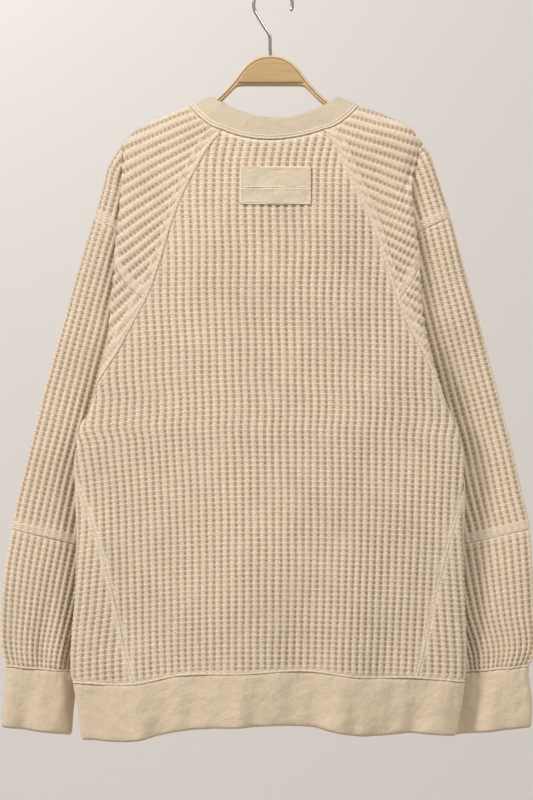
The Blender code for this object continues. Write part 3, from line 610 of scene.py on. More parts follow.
# Wood: long faint grain along the hanger, from noise stretched across the piece, and a dark line
# where the open attribute falls to 0.
def woodMaterial(name, light, dark, roughness, coat, line=None):
    material, shader = newMaterial(name, roughness)
    shader.inputs["Coat Weight"].default_value = coat
    shader.inputs["Coat Roughness"].default_value = 0.25
    place = addNode(material, "ShaderNodeTexCoord")
    grain = stretchedNoise(material, place.outputs["Object"], (1.0, 6.0, 14.0), 28.0, 6.0, 0.6)
    base = mixColour(material, rangeNode(material, grain, 0.35, 0.68), light, dark)
    if line:
        opened = addNode(material, "ShaderNodeAttribute")
        opened.attribute_name = "open"
        base = mixColour(material, rangeNode(material, opened.outputs["Fac"], 1.0, 0.0), base, line)
    material.node_tree.links.new(base, shader.inputs["Base Color"])
    bumpChain(material, shader, ((grain, 0.0004, 0.12),))
    return material


# Thread: one light colour with a twist in its bump.
def threadMaterial(name, colour):
    material, shader = newMaterial(name, 0.85, sheen=0.3)
    place = addNode(material, "ShaderNodeTexCoord")
    twist = addNode(material, "ShaderNodeTexNoise", Scale=1100.0, Detail=2.0)
    join(material, place, "Object", twist, "Vector")
    fine = addNode(material, "ShaderNodeBump", Strength=0.5, Distance=0.0004)
    join(material, twist, "Fac", fine, "Height")
    join(material, fine, "Normal", shader, "Normal")
    shader.inputs["Base Color"].default_value = colour
    return material


# Steel: drawn wire with faint scratches that vary its roughness.
def steelMaterial():
    material, shader = newMaterial("steelWire", 0.2, metallic=1.0)
    shader.inputs["Base Color"].default_value = (0.46, 0.45, 0.44, 1)
    place = addNode(material, "ShaderNodeTexCoord")
    scratch = addNode(material, "ShaderNodeTexNoise", Scale=700.0, Detail=3.0)
    join(material, place, "Object", scratch, "Vector")
    amount = addNode(material, "ShaderNodeMapRange")
    amount.inputs["To Min"].default_value = 0.14
    amount.inputs["To Max"].default_value = 0.34
    join(material, scratch, "Fac", amount, "Value")
    join(material, amount, "Result", shader, "Roughness")
    return material


knitCloth = knitMaterial()
jersey = jerseyMaterial("jersey", (0.69, 0.57, 0.42, 1), (0.54, 0.43, 0.30, 1), 2.3)
neckJersey = jerseyMaterial("neckJersey", (0.60, 0.50, 0.375, 1), (0.47, 0.38, 0.27, 1), 2.3)
patchCloth = jerseyMaterial("patchCloth", (0.66, 0.565, 0.43, 1), (0.53, 0.435, 0.315, 1), 2.6)
thread = threadMaterial("thread", (0.84, 0.74, 0.59, 1))
seamYarn = threadMaterial("seamYarn", (0.68, 0.56, 0.42, 1))
lightWood = woodMaterial("lightWood", (0.69, 0.505, 0.28, 1), (0.60, 0.41, 0.20, 1), 0.42, 0.2,
                         (0.24, 0.13, 0.05, 1))
tanInlay = woodMaterial("tanInlay", (0.505, 0.345, 0.17, 1), (0.45, 0.295, 0.14, 1), 0.5, 0.1)
steel = steelMaterial()
print("materials made")

# ---- body panels ----
bodyKnit = dict(spread=0.0002, level=490, perWale=4, perCourse=4, bowLeft=0.00036, bowRight=0.00015,
                rounds=6)
PitchRow = namedtuple("PitchRow", "across wale")
backPitch = [
    PitchRow(-300, 8.4), PitchRow(-150, 8.2), PitchRow(-73, 8.2), PitchRow(-7, 8.4), PitchRow(75, 8.0),
    PitchRow(141, 8.2), PitchRow(300, 8.4),
]
plainPitch = [PitchRow(-300, 8.4), PitchRow(0, 8.5), PitchRow(300, 8.4)]


# How far the neck dips below the straight line between the two raglan seams.
def neckline(share, dip):
    bulge = 1 - (2 * share - 1) ** 2
    return dip * bulge * (0.8 + 0.2 * bulge)


def hemDown(across, column):
    return hem[column] + through(hemWave, column, np.clip(across, -215, 211))


# One piece of body cloth on the body's surface. Cords keep to lines of equal arc length from the
# middle turn, drawn together towards the hem; courses bow down to the sides by the square of the
# distance across. Whatever lies past a seam is moved onto it, in a few rounds, because the bow and
# the seam's place depend on each other.
# Formula: point = body(turn, down) + normal * (half the wall + waffle height).
def bodyPatch(name, middle, leftTurn, rightTurn, top, bottom, topOf, pitches, spread, shear, seed):
    fineAcross = np.linspace(-300, 300, 2401)
    pitch = through(pitches, "wale", fineAcross[1:])
    waleAt = np.concatenate([[0], np.cumsum(np.diff(fineAcross) / pitch)])
    waleAt = waleAt - np.interp(0, fineAcross, waleAt)
    turns = np.linspace(middle - 180, middle + 180, 1441)
    step = knit["course"] / bodyKnit["perCourse"]
    levels = np.arange(top - 18, bottom + step, step)
    reach = int(waleAt[-1] * bodyKnit["perWale"])
    wales = np.arange(-reach, reach + 1) / bodyKnit["perWale"]
    arcs = np.interp(wales, waleAt, fineAcross)
    turn = np.zeros((len(levels), len(arcs)))
    arc = np.zeros_like(turn)
    down = np.zeros_like(turn)
    clearance = np.zeros_like(turn)
    fromTop = np.zeros_like(turn)
    for row, level in enumerate(levels):
        line = bodyPoint(turns, np.full_like(turns, level))
        along = np.concatenate([[0], np.cumsum(np.linalg.norm(np.diff(line, axis=0), axis=1))])
        along = along - np.interp(middle, turns, along)
        narrowed = 1 + (bodyKnit["level"] - level) * spread
        slid = shear * (hem["seam"] - level)
        free = np.interp(arcs * narrowed + slid, along, turns)
        turn[row] = free
        for again in range(bodyKnit["rounds"]):
            across = np.interp(turn[row], turns, line[:, 0])
            bow = np.where(across < 0, bodyKnit["bowLeft"], bodyKnit["bowRight"])
            bow = bow * ease((level - 220) / 250)
            lowered = level + bow * across ** 2
            down[row] = np.minimum(np.maximum(lowered, topOf(turn[row])), bottom)
            ends = leftTurn(down[row]), rightTurn(down[row])
            turn[row] = np.clip(free, *ends)
        fromTop[row] = lowered - topOf(turn[row])
        here = np.interp(turn[row], turns, along)
        arc[row] = (here - slid) / narrowed
        clearance[row] = np.minimum(here - np.interp(ends[0], turns, along),
                                    np.interp(ends[1], turns, along) - here)
    lowest = hemDown(bodyPoint(turn, down)[..., 0], "seam")
    fromHem = lowest - down
    down = np.minimum(down, lowest)
    point = bodyPoint(turn, down)
    normal = bodyNormal(turn, down)
    waleCount = np.interp(arc, fineAcross, waleAt) + 0.05 * wander(point[..., 0] * 2, down * 2, seed)
    drift = 0.06 * wander(down * 1.5, point[..., 0] * 1.7, seed + 1)
    courseCount = levels[:, None] / knit["course"] + drift
    height = waffle(waleCount, courseCount)
    clear = np.minimum(np.minimum(clearance * 0.85, np.maximum(fromTop, 0)), np.maximum(fromHem, 0))
    pressed = 1 - ease((clear - 1) / 5)
    uneven = 1 + 0.16 * wander(point[..., 0] * 3, down * 3, seed + 2)
    height = height * uneven * (1 - 0.7 * pressed) - 0.9 * np.exp(-(clear / 1.3) ** 2)
    height = height + knit["lumps"] * wander(point[..., 0], down, seed + 3)
    # Painted highlight along the fold beside each seam: it takes the open attribute below 0, which
    # lightens the colour.
    foldHighlight = np.exp(-((clear - 1.8) / 1.0) ** 2)
    opened = (1 - 0.6 * pressed) * uneven - 1.1 * foldHighlight
    place = point + normal * (cloth["wall"] / 2 + height)[..., None]
    uv = np.stack([waleCount, courseCount], -1)
    return makePiece(name, place, gridQuads(*turn.shape), knitCloth, uv, opened, normal)


# A panel's edge as a turn: the side seam from the underarm to the hem, and the raglan seam above it.
def sideEdge(sideSeam, side, down):
    return seamTurn(sideSeam, side, np.clip(down, underarm["down"], hem["seam"]))


def panelEdge(raglan, sideSeam, side, top, down):
    above = seamTurn(raglan, side, np.clip(down, top, underarm["down"]))
    return np.where(down < underarm["down"], above, sideEdge(sideSeam, side, down))


backLeft, backRight = (partial(panelEdge, raglanBack, sideSeamBack, side, neck["backSeam"])
                       for side in sides)
frontLeftTurn, frontRight = (partial(panelEdge, raglanFront, sideSeamFront, side, neck["frontSeam"])
                             for side in sides)


def frontLeft(down):
    return 360 + frontLeftTurn(down)


def backTop(turn):
    share = np.clip((turn - neck["backFrom"]) / neck["backTurns"], 0, 1)
    return neck["backSeam"] + neckline(share, neck["backDip"])


def frontTop(turn):
    share = np.clip((turn - neck["frontFrom"]) / neck["frontTurns"], 0, 1)
    return neck["frontSeam"] + neckline(share, neck["frontDip"])


def noTop(turn):
    return np.full_like(turn, underarm["down"] - 2.0)


panelEnd = hem["seam"] + 4
bodyPatch("backPanel", 0, backLeft, backRight, neck["backSeam"], panelEnd, backTop,
                                backPitch, bodyKnit["spread"], 0.0, 1.0)
bodyPatch("frontPanel", 180, frontRight, frontLeft, neck["frontSeam"], panelEnd,
                                 frontTop, plainPitch, bodyKnit["spread"], 0.0, 5.0)
for side, word in sides.items():
    seams = (sideSeamFront, sideSeamBack) if side < 0 else (sideSeamBack, sideSeamFront)
    bounds = [partial(sideEdge, seam, side) for seam in seams]
    bodyPatch("sidePanel" + word.capitalize(), side * 90, *bounds,
                                           underarm["down"] + 2, panelEnd, noTop, plainPitch, 0.0,
                                           -side * 0.045, 7.0 + side)
print("body panels made")


# ---- arms ----
armKnit = dict(relief=0.74, spacing=1.35, wale=7.8, course=5.85, fanWale=10.0, fanCourse=5.0)
# Where each cap's fan of cords would meet, and how its cords spread: their count grows with the
# turn past the first cord as reach * turn + gain * turn squared.
fans = {
    -1: dict(across=167, down=40, first=22, reach=296, gain=3.4),
    1: dict(across=-431, down=10, first=14, reach=533, gain=4.5),
}


# A fine table of the arm's surface, with each row's arc length from the back seam, and its cords and
# courses: outside the tuck they run beside the arm's outer edge; inside it they fan from a point past
# the far side of the neck, as the cloth hangs.
def armTable(side):
    rows = np.linspace(0, arm["end"], 1121)
    parts = np.linspace(0, 1, 721)
    point = armPoint(side, rows, parts)
    alongRows = np.gradient(point, axis=0)
    alongParts = np.gradient(point, axis=1)
    normal = unit(np.cross(alongParts, alongRows) * side)
    step = np.diff(point, axis=1)
    length = np.linalg.norm(step, axis=2)
    arc = np.concatenate([np.zeros((len(rows), 1)), np.cumsum(length, 1)], 1)
    edgeAt = int(round(arm["edgePart"] * 720))
    edge = point[:, edgeAt]
    tangent = unit(np.gradient(edge, axis=0))
    forward = (step * tangent[:, None, :]).sum(2)
    sideways = np.sqrt(np.maximum(length ** 2 - forward ** 2, 0))
    edgeLength = np.concatenate([[0], np.cumsum(np.linalg.norm(np.diff(edge, axis=0), axis=1))])
    forwardSum = np.concatenate([np.zeros((len(rows), 1)), np.cumsum(forward, 1)], 1)
    sidewaysSum = np.concatenate([np.zeros((len(rows), 1)), np.cumsum(sideways, 1)], 1)
    course = edgeLength[:, None] + forwardSum - forwardSum[:, edgeAt:edgeAt + 1]
    wale = sidewaysSum - sidewaysSum[:, edgeAt:edgeAt + 1]
    away = (point[..., 0] - fans[side]["across"]) * side
    drop = point[..., 2] - fans[side]["down"]
    turned = np.degrees(np.arctan2(drop, away)) - fans[side]["first"]
    radius = np.hypot(drop, away)
    fan = np.radians(fans[side]["reach"] * turned + fans[side]["gain"] * turned ** 2)
    return dict(rows=rows, parts=parts, point=point, normal=normal, arc=arc, edgeLength=edgeLength,
                wale=wale, course=course, fan=fan, radius=radius)


# Reads a table between its rows and parts, blending the four nearest entries.
def readTable(values, row, part):
    high, wide = values.shape[:2]
    r = np.clip(row * (high - 1) / arm["end"], 0, high - 1.000001)
    p = np.clip(part * (wide - 1), 0, wide - 1.000001)
    i = r.astype(int)
    j = p.astype(int)
    r = r - i
    p = p - j
    if values.ndim == 3:
        r = r[..., None]
        p = p[..., None]
    upper = values[i, j] * (1 - p) + values[i, j + 1] * p
    lower = values[i + 1, j] * (1 - p) + values[i + 1, j + 1] * p
    return upper * (1 - r) + lower * r


# A grid on the arm between two rows, its columns spread evenly by arc length round the arm.
def armGrid(table, start, stop, rowCount, columnCount):
    edgeLength = np.interp([start, stop], table["rows"], table["edgeLength"])
    row = np.interp(np.linspace(*edgeLength, rowCount), table["edgeLength"], table["rows"])
    share = np.linspace(0, 1, columnCount)
    part = np.zeros((rowCount, columnCount))
    for index, value in enumerate(row):
        near = np.clip(value * 80, 0, 1119.999)
        low = int(near)
        arc = table["arc"][low] * (1 - near + low) + table["arc"][low + 1] * (near - low)
        part[index] = np.interp(share * arc[-1], arc, table["parts"])
    row = np.broadcast_to(row[:, None], part.shape)
    return row, part


def distances(point):
    downward = np.linalg.norm(np.diff(point, axis=0), axis=2)
    across = np.linalg.norm(np.diff(point, axis=1), axis=2)
    fromTop = np.concatenate([np.zeros((1, point.shape[1])), np.cumsum(downward, 0)], 0)
    fromSeam = np.concatenate([np.zeros((point.shape[0], 1)), np.cumsum(across, 1)], 1)
    return fromTop, fromTop[-1:] - fromTop, fromSeam, fromSeam[:, -1:] - fromSeam


# The flat welt beside a raglan seam: it rises from the seam in a millimetre, lies level and ends,
# with a narrow ridge, a bell curve, along both of its edges.
def weltHeight(distance, width):
    body = 0.8 * ease((distance - 0.1) / 1.2) * (1 - ease((distance - width + 0.6) / 1.6))
    return body + 0.6 * weltRidges(distance, width)


def weltRidges(distance, width):
    return np.exp(-((distance - 1.6) / 0.9) ** 2) + np.exp(-((distance - width + 0.9) / 0.9) ** 2)


# Cap or upper sleeve. Formula: point = arm(row, part) + normal * (half the wall + waffle height),
# with the waffle pressed flat in a band above the lower seam and along the raglan seams.
def armPatch(name, table, start, stop, pressedBelow, seed):
    span = np.interp([start, stop], table["rows"], table["edgeLength"])
    rowCount = int((span[1] - span[0]) / armKnit["spacing"]) + 1
    first, last = (int(value * 80) for value in (start, stop))
    columnCount = int(table["arc"][first:last, -1].max() / armKnit["spacing"]) + 1
    row, part = armGrid(table, start, stop, rowCount, columnCount)
    point = readTable(table["point"], row, part)
    normal = unit(readTable(table["normal"], row, part))
    inner = arm["edgePart"] + (arm["tuckPart"] - arm["edgePart"]) * ease((row - 3) / 1.0)
    inFan = part < inner
    wale = np.where(inFan, readTable(table["fan"], row, part) / armKnit["fanWale"],
                    readTable(table["wale"], row, part) / armKnit["wale"])
    course = np.where(inFan, readTable(table["radius"], row, part) / armKnit["fanCourse"],
                      readTable(table["course"], row, part) / armKnit["course"])
    waleCount = wale + 0.05 * wander(point[..., 0] * 2, point[..., 2] * 2, seed)
    courseCount = course + 0.06 * wander(point[..., 2] * 2, point[..., 0] * 2, seed)
    height = waffle(waleCount, courseCount)
    fromTop, fromBottom, fromBack, fromFront = distances(point)
    fadeTop = ease((row - 8.2) / 0.6)
    raglan = np.minimum(fromBack, fromFront) * 0.85 + 60 * fadeTop
    ridge = np.abs(part - inner) * 18
    onShoulder = np.exp(-(ridge / 0.5) ** 2) * (1 - ease((row - 3) / 0.5))
    pressed = 0.5 * (1 - ease((raglan - 8) / 3))
    pressed = np.maximum(pressed, 0.8 * (1 - ease((fromBottom - pressedBelow + 2) / 4)))
    pressed = np.maximum(pressed, 0.5 * (1 - ease(fromTop / 4)))
    pressed = np.maximum(pressed, 0.6 * onShoulder)
    onFold = np.exp(-((part * 18 - 4.4) / 0.55) ** 2) * ease((row - 3.5) / 0.8) * (1 - fadeTop)
    pressed = np.maximum(pressed, 0.65 * onFold)
    uneven = 1 + 0.16 * wander(point[..., 0] * 3, point[..., 2] * 3, seed + 2)
    height = armKnit["relief"] * height * uneven * (1 - 0.86 * pressed)
    height = height + weltHeight(raglan, 9.5) * uneven - 1.1 * np.exp(-(raglan / 0.8) ** 2)
    height = height + 0.6 * ease(fromBottom / 1.5) * (1 - ease((fromBottom - pressedBelow) / 2.5))
    height = height - 1.2 * np.exp(-(fromTop / 1.2) ** 2) - 0.6 * np.exp(-(fromBottom / 1.0) ** 2)
    height = height + knit["lumps"] * wander(point[..., 0], point[..., 2], seed + 3)
    # Painted highlight on the welt ridges, the fold above the lower seam and the fold below the top
    # seam: they take the open attribute below 0, which lightens the colour.
    foldHighlight = weltRidges(raglan, 9.5) + 0.8 * weltRidges(fromBottom, pressedBelow)
    foldHighlight = foldHighlight + 0.7 * np.exp(-((fromTop - 1.6) / 1.0) ** 2)
    opened = (1 - 0.75 * pressed) * uneven - 0.9 * foldHighlight
    place = point + normal * (cloth["wall"] / 2 + height)[..., None]
    uv = np.stack([waleCount, courseCount], -1)
    return makePiece(name, place, gridQuads(*part.shape), knitCloth, uv, opened, normal)


lowerSleeve = dict(wales={-1: 27, 1: 25}, perWale=5, courses=26, perCourse=4, drift=0.1)


# How far round the ring the cords slide towards the outer edge: most on the inner edge, growing
# down to the cuff with the power 1.5.
def cordDrift(share, fall):
    return lowerSleeve["drift"] * fall ** 1.5 * (0.5 + 0.5 * np.cos(2 * math.pi * share))


# A closed grid on the arm whose columns follow the cords as they slide.
def driftGrid(table, rowCount, columnCount):
    edgeLength = np.interp([arm["elbow"], arm["cuff"]], table["rows"], table["edgeLength"])
    row = np.interp(np.linspace(*edgeLength, rowCount), table["edgeLength"], table["rows"])
    part = np.zeros((rowCount, columnCount))
    longer = np.linspace(-1, 2, 1801)
    for index, value in enumerate(row):
        arc = table["arc"][min(int(round(value * 80)), 1120)]
        fall = index / (rowCount - 1)
        share = np.interp(np.linspace(0, 1, columnCount), longer - cordDrift(longer, fall), longer) % 1
        part[index] = np.interp(share * arc[-1], arc, table["parts"])
    return np.broadcast_to(row[:, None], part.shape), part


# The closed lower sleeve: whole cords round the ring, and the waffle fading into gathers at the cuff.
def lowerSleevePiece(name, side, table, seed):
    columnCount = lowerSleeve["wales"][side] * lowerSleeve["perWale"] + 1
    rowCount = lowerSleeve["courses"] * lowerSleeve["perCourse"] + 1
    row, part = driftGrid(table, rowCount, columnCount)
    point = readTable(table["point"], row, part)
    normal = unit(readTable(table["normal"], row, part))
    share = np.linspace(0, 1, columnCount)[None, :]
    fall = np.linspace(0, 1, rowCount)[:, None]
    waleCount = share * lowerSleeve["wales"][side] + 0 * fall
    courseCount = fall * lowerSleeve["courses"] + 0 * share
    height = waffle(waleCount, courseCount)
    fromTop, fromBottom, _, _ = distances(point)
    waves = np.cos(2 * math.pi * share * 5 + seed) + 0.6 * np.cos(2 * math.pi * share * 9 - seed)
    uneven = 1 + 0.12 * wander(point[..., 0] * 3, point[..., 2] * 3, seed + 2) * np.sin(math.pi * share)
    pressed = np.maximum(0.6 * (1 - ease(fromTop / 4)), 0.5 * (1 - ease(fromBottom / 5)))
    height = armKnit["relief"] * height * uneven * (1 - 0.8 * pressed) * (1 + 0.3 * fall)
    height = height + 0.7 * waves * fall * ease(fromBottom / 12)
    height = height - 1.2 * np.exp(-(fromTop / 1.2) ** 2) - 1.0 * np.exp(-(fromBottom / 1.6) ** 2)
    place = point + normal * (cloth["wall"] / 2 + height)[..., None]
    place[:, -1] = place[:, 0]
    uv = np.stack([waleCount, courseCount], -1)
    # Painted highlight along the fold below the top seam, where the open attribute goes below 0.
    opened = 1 - 0.7 * pressed - 0.8 * np.exp(-((fromTop - 1.6) / 1.0) ** 2)
    return makePiece(name, place, gridQuads(*part.shape), knitCloth, uv, opened, normal)


tables = {}
for side, word in sides.items():
    tables[side] = armTable(side)
    cap = word.capitalize()
    armPatch("shoulderCap" + cap, tables[side], 0, arm["dropSeam"], 10,
                                         2 + side)
    armPatch("sleeveUpper" + cap, tables[side], arm["dropSeam"],
                                            arm["elbow"], 10, 11 + side)
    lowerSleevePiece("sleeveLower" + cap, side, tables[side], 4 + side)
print("arms made")

# ---- bands of doubled jersey: neckband, cuffs and hem ----
band = dict(wall=cloth["bandWall"], across=22)
WaveRow = namedtuple("WaveRow", "length height slant")
softWaves = [
    WaveRow(118, 2.8, 0.02), WaveRow(61, 2.1, -0.035), WaveRow(37, 1.2, 0.05), WaveRow(23, 0.6, -0.07),
]
gatherWaves = [WaveRow(9.5, 0.28, 0.0), WaveRow(6.3, 0.16, 0.0)]


# A flat closed ring about a middle surface: share 0 is the seam, 1 the edge. Half its thickness is
# (1 - |2 share - 1|^power)^0.5 of the wall, so both rims are round.
def bandPiece(name, middle, normal, material, length, seed, soft=1.0, power=(14, 5)):
    share = np.linspace(0, 1, middle.shape[0])[:, None]
    from0 = np.where(share < 0.5, power[0], power[1])
    half = band["wall"] / 2 * np.sqrt(np.maximum(1 - np.abs(2 * share - 1) ** (2 * from0), 0))
    step = np.linalg.norm(np.diff(middle[0], axis=0, append=middle[0][:1]), axis=1)
    along = np.concatenate([[0], np.cumsum(step)[:-1]])
    whole = along[-1] + step[-1]
    down = share * length / 2
    pucker = np.zeros((middle.shape[0], len(along)))
    for waves, growth in ((softWaves, 0.15 + 0.85 * share), (gatherWaves, np.exp(-share * 6))):
        for wave in waves:
            count = max(round(whole / wave.length), 2)
            phase = 2 * math.pi * count * along[None, :] / whole + wave.slant * down + seed * count
            pucker = pucker + soft * wave.height * growth * np.sin(phase)
    outer = middle + normal * (half + pucker)[..., None]
    inner = middle - normal * (half - pucker)[..., None]
    place = np.concatenate([outer, inner[::-1][1:-1]], 0)
    place = np.concatenate([place, place[:1]], 0)
    place = np.concatenate([place, place[:, :1]], 1)
    rows = place.shape[0]
    across = np.linspace(0, 2 * length, rows)[:, None] + 0 * np.append(along, whole)[None, :]
    uv = np.stack([np.broadcast_to(np.append(along, whole), across.shape), across], -1)
    outward = np.concatenate([normal, -normal[::-1][1:-1], normal[:1]], 0)
    outward = np.concatenate([outward, outward[:, :1]], 1)
    return makePiece(name, place, gridQuads(*place.shape[:2]), material, uv, None, outward)


def hemGrid(columns):
    turn = np.linspace(0, 360, columns, endpoint=False)[None, :]
    share = np.linspace(0, 1, band["across"])[:, None]
    down = hem["seam"] + (hem["edge"] - hem["seam"]) * share + 0 * turn
    turn = turn + 0 * share
    across = bodyPoint(turn, down)[..., 0]
    wave = through(hemWave, "seam", np.clip(across, -215, 211)) * (1 - share)
    wave = wave + through(hemWave, "edge", np.clip(across, -215, 211)) * share
    return bodyPoint(turn, down + wave), bodyNormal(turn, down + wave)


def cuffGrid(side, columns):
    row, part = armGrid(tables[side], arm["cuff"], arm["end"], band["across"], columns + 1)
    point = readTable(tables[side]["point"], row, part)[:, :-1]
    return point, unit(readTable(tables[side]["normal"], row, part))[:, :-1]


# The neck's seam: along the back neckline, over the right shoulder, along the front and back over
# the left shoulder. The band leans in from it to the edge of the opening.
def neckSeam(perSide):
    share = np.linspace(0, 1, perSide)
    backTurn = neck["backFrom"] + neck["backTurns"] * share
    back = bodyPoint(backTurn, backTop(backTurn))
    frontTurn = neck["frontFrom"] + neck["frontTurns"] * share
    front = bodyPoint(frontTurn, frontTop(frontTurn))
    capLine = np.linspace(0, 1, perSide // 3)
    right = armPoint(1, np.array([0.0]), capLine)[0]
    left = armPoint(-1, np.array([0.0]), capLine)[0]
    return np.concatenate([back, right[1:-1], front, left[::-1][1:-1]])


def neckGrid(seam):
    middle = neck["middle"]
    across = middle + (seam[:, 0] - middle) * neck["narrows"]
    reach = np.abs(seam[:, 0] - middle).max() * neck["narrows"]
    side = np.clip(np.abs(across - middle) / reach, 0, 1)
    isFront = seam[:, 1] > 0
    lowest = np.where(isFront, neck["frontEdge"], neck["backEdge"])
    down = lowest - (lowest - neck["top"]) * side ** np.where(isFront, 2.6, 2.0)
    depth = np.sqrt(np.clip(1 - side ** 2, 0, 1)) * neck["depth"] * np.where(isFront, 1, -1)
    edge = np.stack([across, depth, down], -1)
    share = np.linspace(0, 1, band["across"])[:, None, None]
    point = seam + (edge - seam) * share
    along = np.gradient(point, axis=0)
    around = np.roll(point, -1, 1) - np.roll(point, 1, 1)
    normal = unit(np.cross(around, along))
    outward = point - np.array([middle, 0, 0])
    return point, normal * np.sign((normal * outward)[..., :2].sum())


# Evens out the points round a closed line by arc length.
def evenLoop(line, count):
    closed = np.concatenate([line, line[:1]])
    length = np.concatenate([[0], np.cumsum(np.linalg.norm(np.diff(closed, axis=0), axis=1))])
    at = np.linspace(0, length[-1], count, endpoint=False)
    return np.stack([np.interp(at, length, closed[:, k]) for k in range(3)], -1)


hemMiddle, hemNormal = hemGrid(420)
bandPiece("hemBand", hemMiddle, hemNormal, jersey, 64, 1.3)
neckLine = evenLoop(neckSeam(120), 320)
neckMiddle, neckNormal = neckGrid(neckLine)
bandPiece("neckBand", neckMiddle, neckNormal, neckJersey, 26, 2.1, 0.2)
for side, word in sides.items():
    middle, normal = cuffGrid(side, 180)
    bandPiece("cuff" + word.capitalize(), middle, normal, jersey, 71, 0.7 + side)
print("bands made")


# A thread or ridge carried along a path: a ring of given half width and half height about each
# point, turned to the cloth's normal; its size swells once for every stitch.
def threadPiece(name, path, normal, width, height, stitch, material, closed=False, sidesRound=8):
    ahead = unit(np.gradient(path, axis=0))
    across = unit(np.cross(ahead, normal))
    length = np.concatenate([[0], np.cumsum(np.linalg.norm(np.diff(path, axis=0), axis=1))])
    swell = 0.6 + 0.4 * np.abs(np.sin(math.pi * length / stitch))
    angle = np.linspace(0, 2 * math.pi, sidesRound, endpoint=False)
    ring = np.cos(angle)[None, :, None] * across[:, None, :] * width
    ring = ring + np.sin(angle)[None, :, None] * normal[:, None, :] * height
    place = path[:, None, :] + ring * swell[:, None, None]
    if closed:
        place = np.concatenate([place, place[:1]], 0)
    else:
        place = np.concatenate([path[None, :1].repeat(sidesRound, 1), place,
                                path[None, -1:].repeat(sidesRound, 1)], 0)
    outward = unit(ring)
    if closed:
        outward = np.concatenate([outward, outward[:1]], 0)
    else:
        outward = np.concatenate([outward[:1], outward, outward[-1:]], 0)
    return makePiece(name, place, gridQuads(*place.shape[:2], True), material, None, None, outward)


# How far each seam's thread is lifted off the middle of the wall, its half sizes and its stitch.
ThreadSize = namedtuple("ThreadSize", "lift width height stitch")
threadSizes = dict(
    neck=ThreadSize(1.75, 0.55, 0.4, 2.6), hem=ThreadSize(1.3, 1.3, 0.9, 8.5),
    cuff=ThreadSize(1.3, 1.2, 0.8, 7.0), side=ThreadSize(1.0, 1.3, 0.9, 5.6),
    raglan=ThreadSize(1.5, 2.1, 1.2, 5.6),
)


def seamThread(name, kind, path, facing, material=seamYarn, closed=False):
    size = threadSizes[kind]
    return threadPiece(name, path + facing * size.lift, facing, size.width, size.height, size.stitch,
                       material, closed)


for number, share in enumerate((0.07, 0.19)):
    at = share * (band["across"] - 1)
    low = int(at)
    path = neckMiddle[low] * (1 - at + low) + neckMiddle[low + 1] * (at - low)
    seamThread("neckStitch" + str(number + 1), "neck", path, neckNormal[low], thread,
                               True)
seamThread("hemSeam", "hem", *(grid[0] for grid in hemGrid(1100)), closed=True)
for side, word in sides.items():
    cuffPath = (grid[0] for grid in cuffGrid(side, 420))
    seamThread("cuffSeam" + word.capitalize(), "cuff", *cuffPath, closed=True)
seamFaces = (
    ("Back", (backLeft, backRight), neck["backSeam"] + 3),
    ("Front", (frontLeft, frontRight), neck["frontSeam"] + 5),
)
for side, word in sides.items():
    for face, edge, start in seamFaces:
        down = np.linspace(underarm["down"] + 4, hem["seam"], 260)
        turn = edge[side > 0](down)
        low = np.minimum(down, hemDown(bodyPoint(turn, down)[:, 0], "seam"))
        seamThread("sideSeam" + word.capitalize() + face, "side", bodyPoint(turn, low),
                                   bodyNormal(turn, low))
    for face, edge, start in seamFaces:
        down = np.linspace(start, underarm["down"] - 2, 300)
        turn = edge[side > 0](down)
        seamThread("raglanSeam" + word.capitalize() + face, "raglan",
                                   bodyPoint(turn, down), bodyNormal(turn, down))
print("stitching made")

# ---- patch ----
patch = dict(width=77, height=41, middle=4, top=200.5, wall=1.2, seam=223.7)


# The patch: points of the back panel moved out, with round rims and a pressed seam across it.
def patchPiece():
    share = np.linspace(-1, 1, 150)
    across = patch["middle"] + share * patch["width"] / 2
    fall = np.linspace(-1, 1, 84)
    down = patch["top"] + (fall + 1) / 2 * patch["height"]
    across, down = np.meshgrid(across, down)
    skew = 0.6 * np.sin(across / 19) + 0.5 * np.sin(across / 7.3 + 1)
    down = down + skew
    turn = turnAt(across, down)
    point = bodyPoint(turn, down)
    normal = bodyNormal(turn, down)
    rim = np.maximum(np.abs(share)[None, :], np.abs(fall)[:, None])
    distance = np.minimum((1 - np.abs(share))[None, :] * patch["width"] / 2,
                          (1 - np.abs(fall))[:, None] * patch["height"] / 2)
    body = 0.8 * ease(distance / 1.2) + 0.35 * (1 - ease((distance - 2.2) / 1.2))
    fold = -0.5 * np.exp(-((down - patch["seam"]) / 0.7) ** 2)
    fold = fold + 0.35 * np.exp(-((down - patch["seam"] - 1.6) / 1.1) ** 2)
    soft = 0.28 * np.sin(across / 4.1) * np.sin(down / 3.3) + 0.4 * np.sin(across / 13 + down / 9)
    lift = cloth["wall"] / 2 + 1.35
    height = lift + body + fold + soft * ease(distance / 4)
    outer = point + normal * height[..., None]
    place = outer.copy()
    for edge in ((0, slice(None)), (-1, slice(None)), (slice(None), 0), (slice(None), -1)):
        place[edge] = point[edge] + normal[edge] * (lift - 1.5)
    uv = np.stack([across, down], -1)
    return makePiece("backPatch", place, gridQuads(*rim.shape), patchCloth, uv, None, normal)


# A run of thread laid on the patch or round it, from points given by across and down.
def patchThread(name, across, down, closed):
    turn = turnAt(across, down)
    normal = bodyNormal(turn, down)
    path = bodyPoint(turn, down) + normal * (cloth["wall"] / 2 + 2.1)
    return threadPiece(name, path, normal, 0.6, 0.4, 2.2, thread, closed)


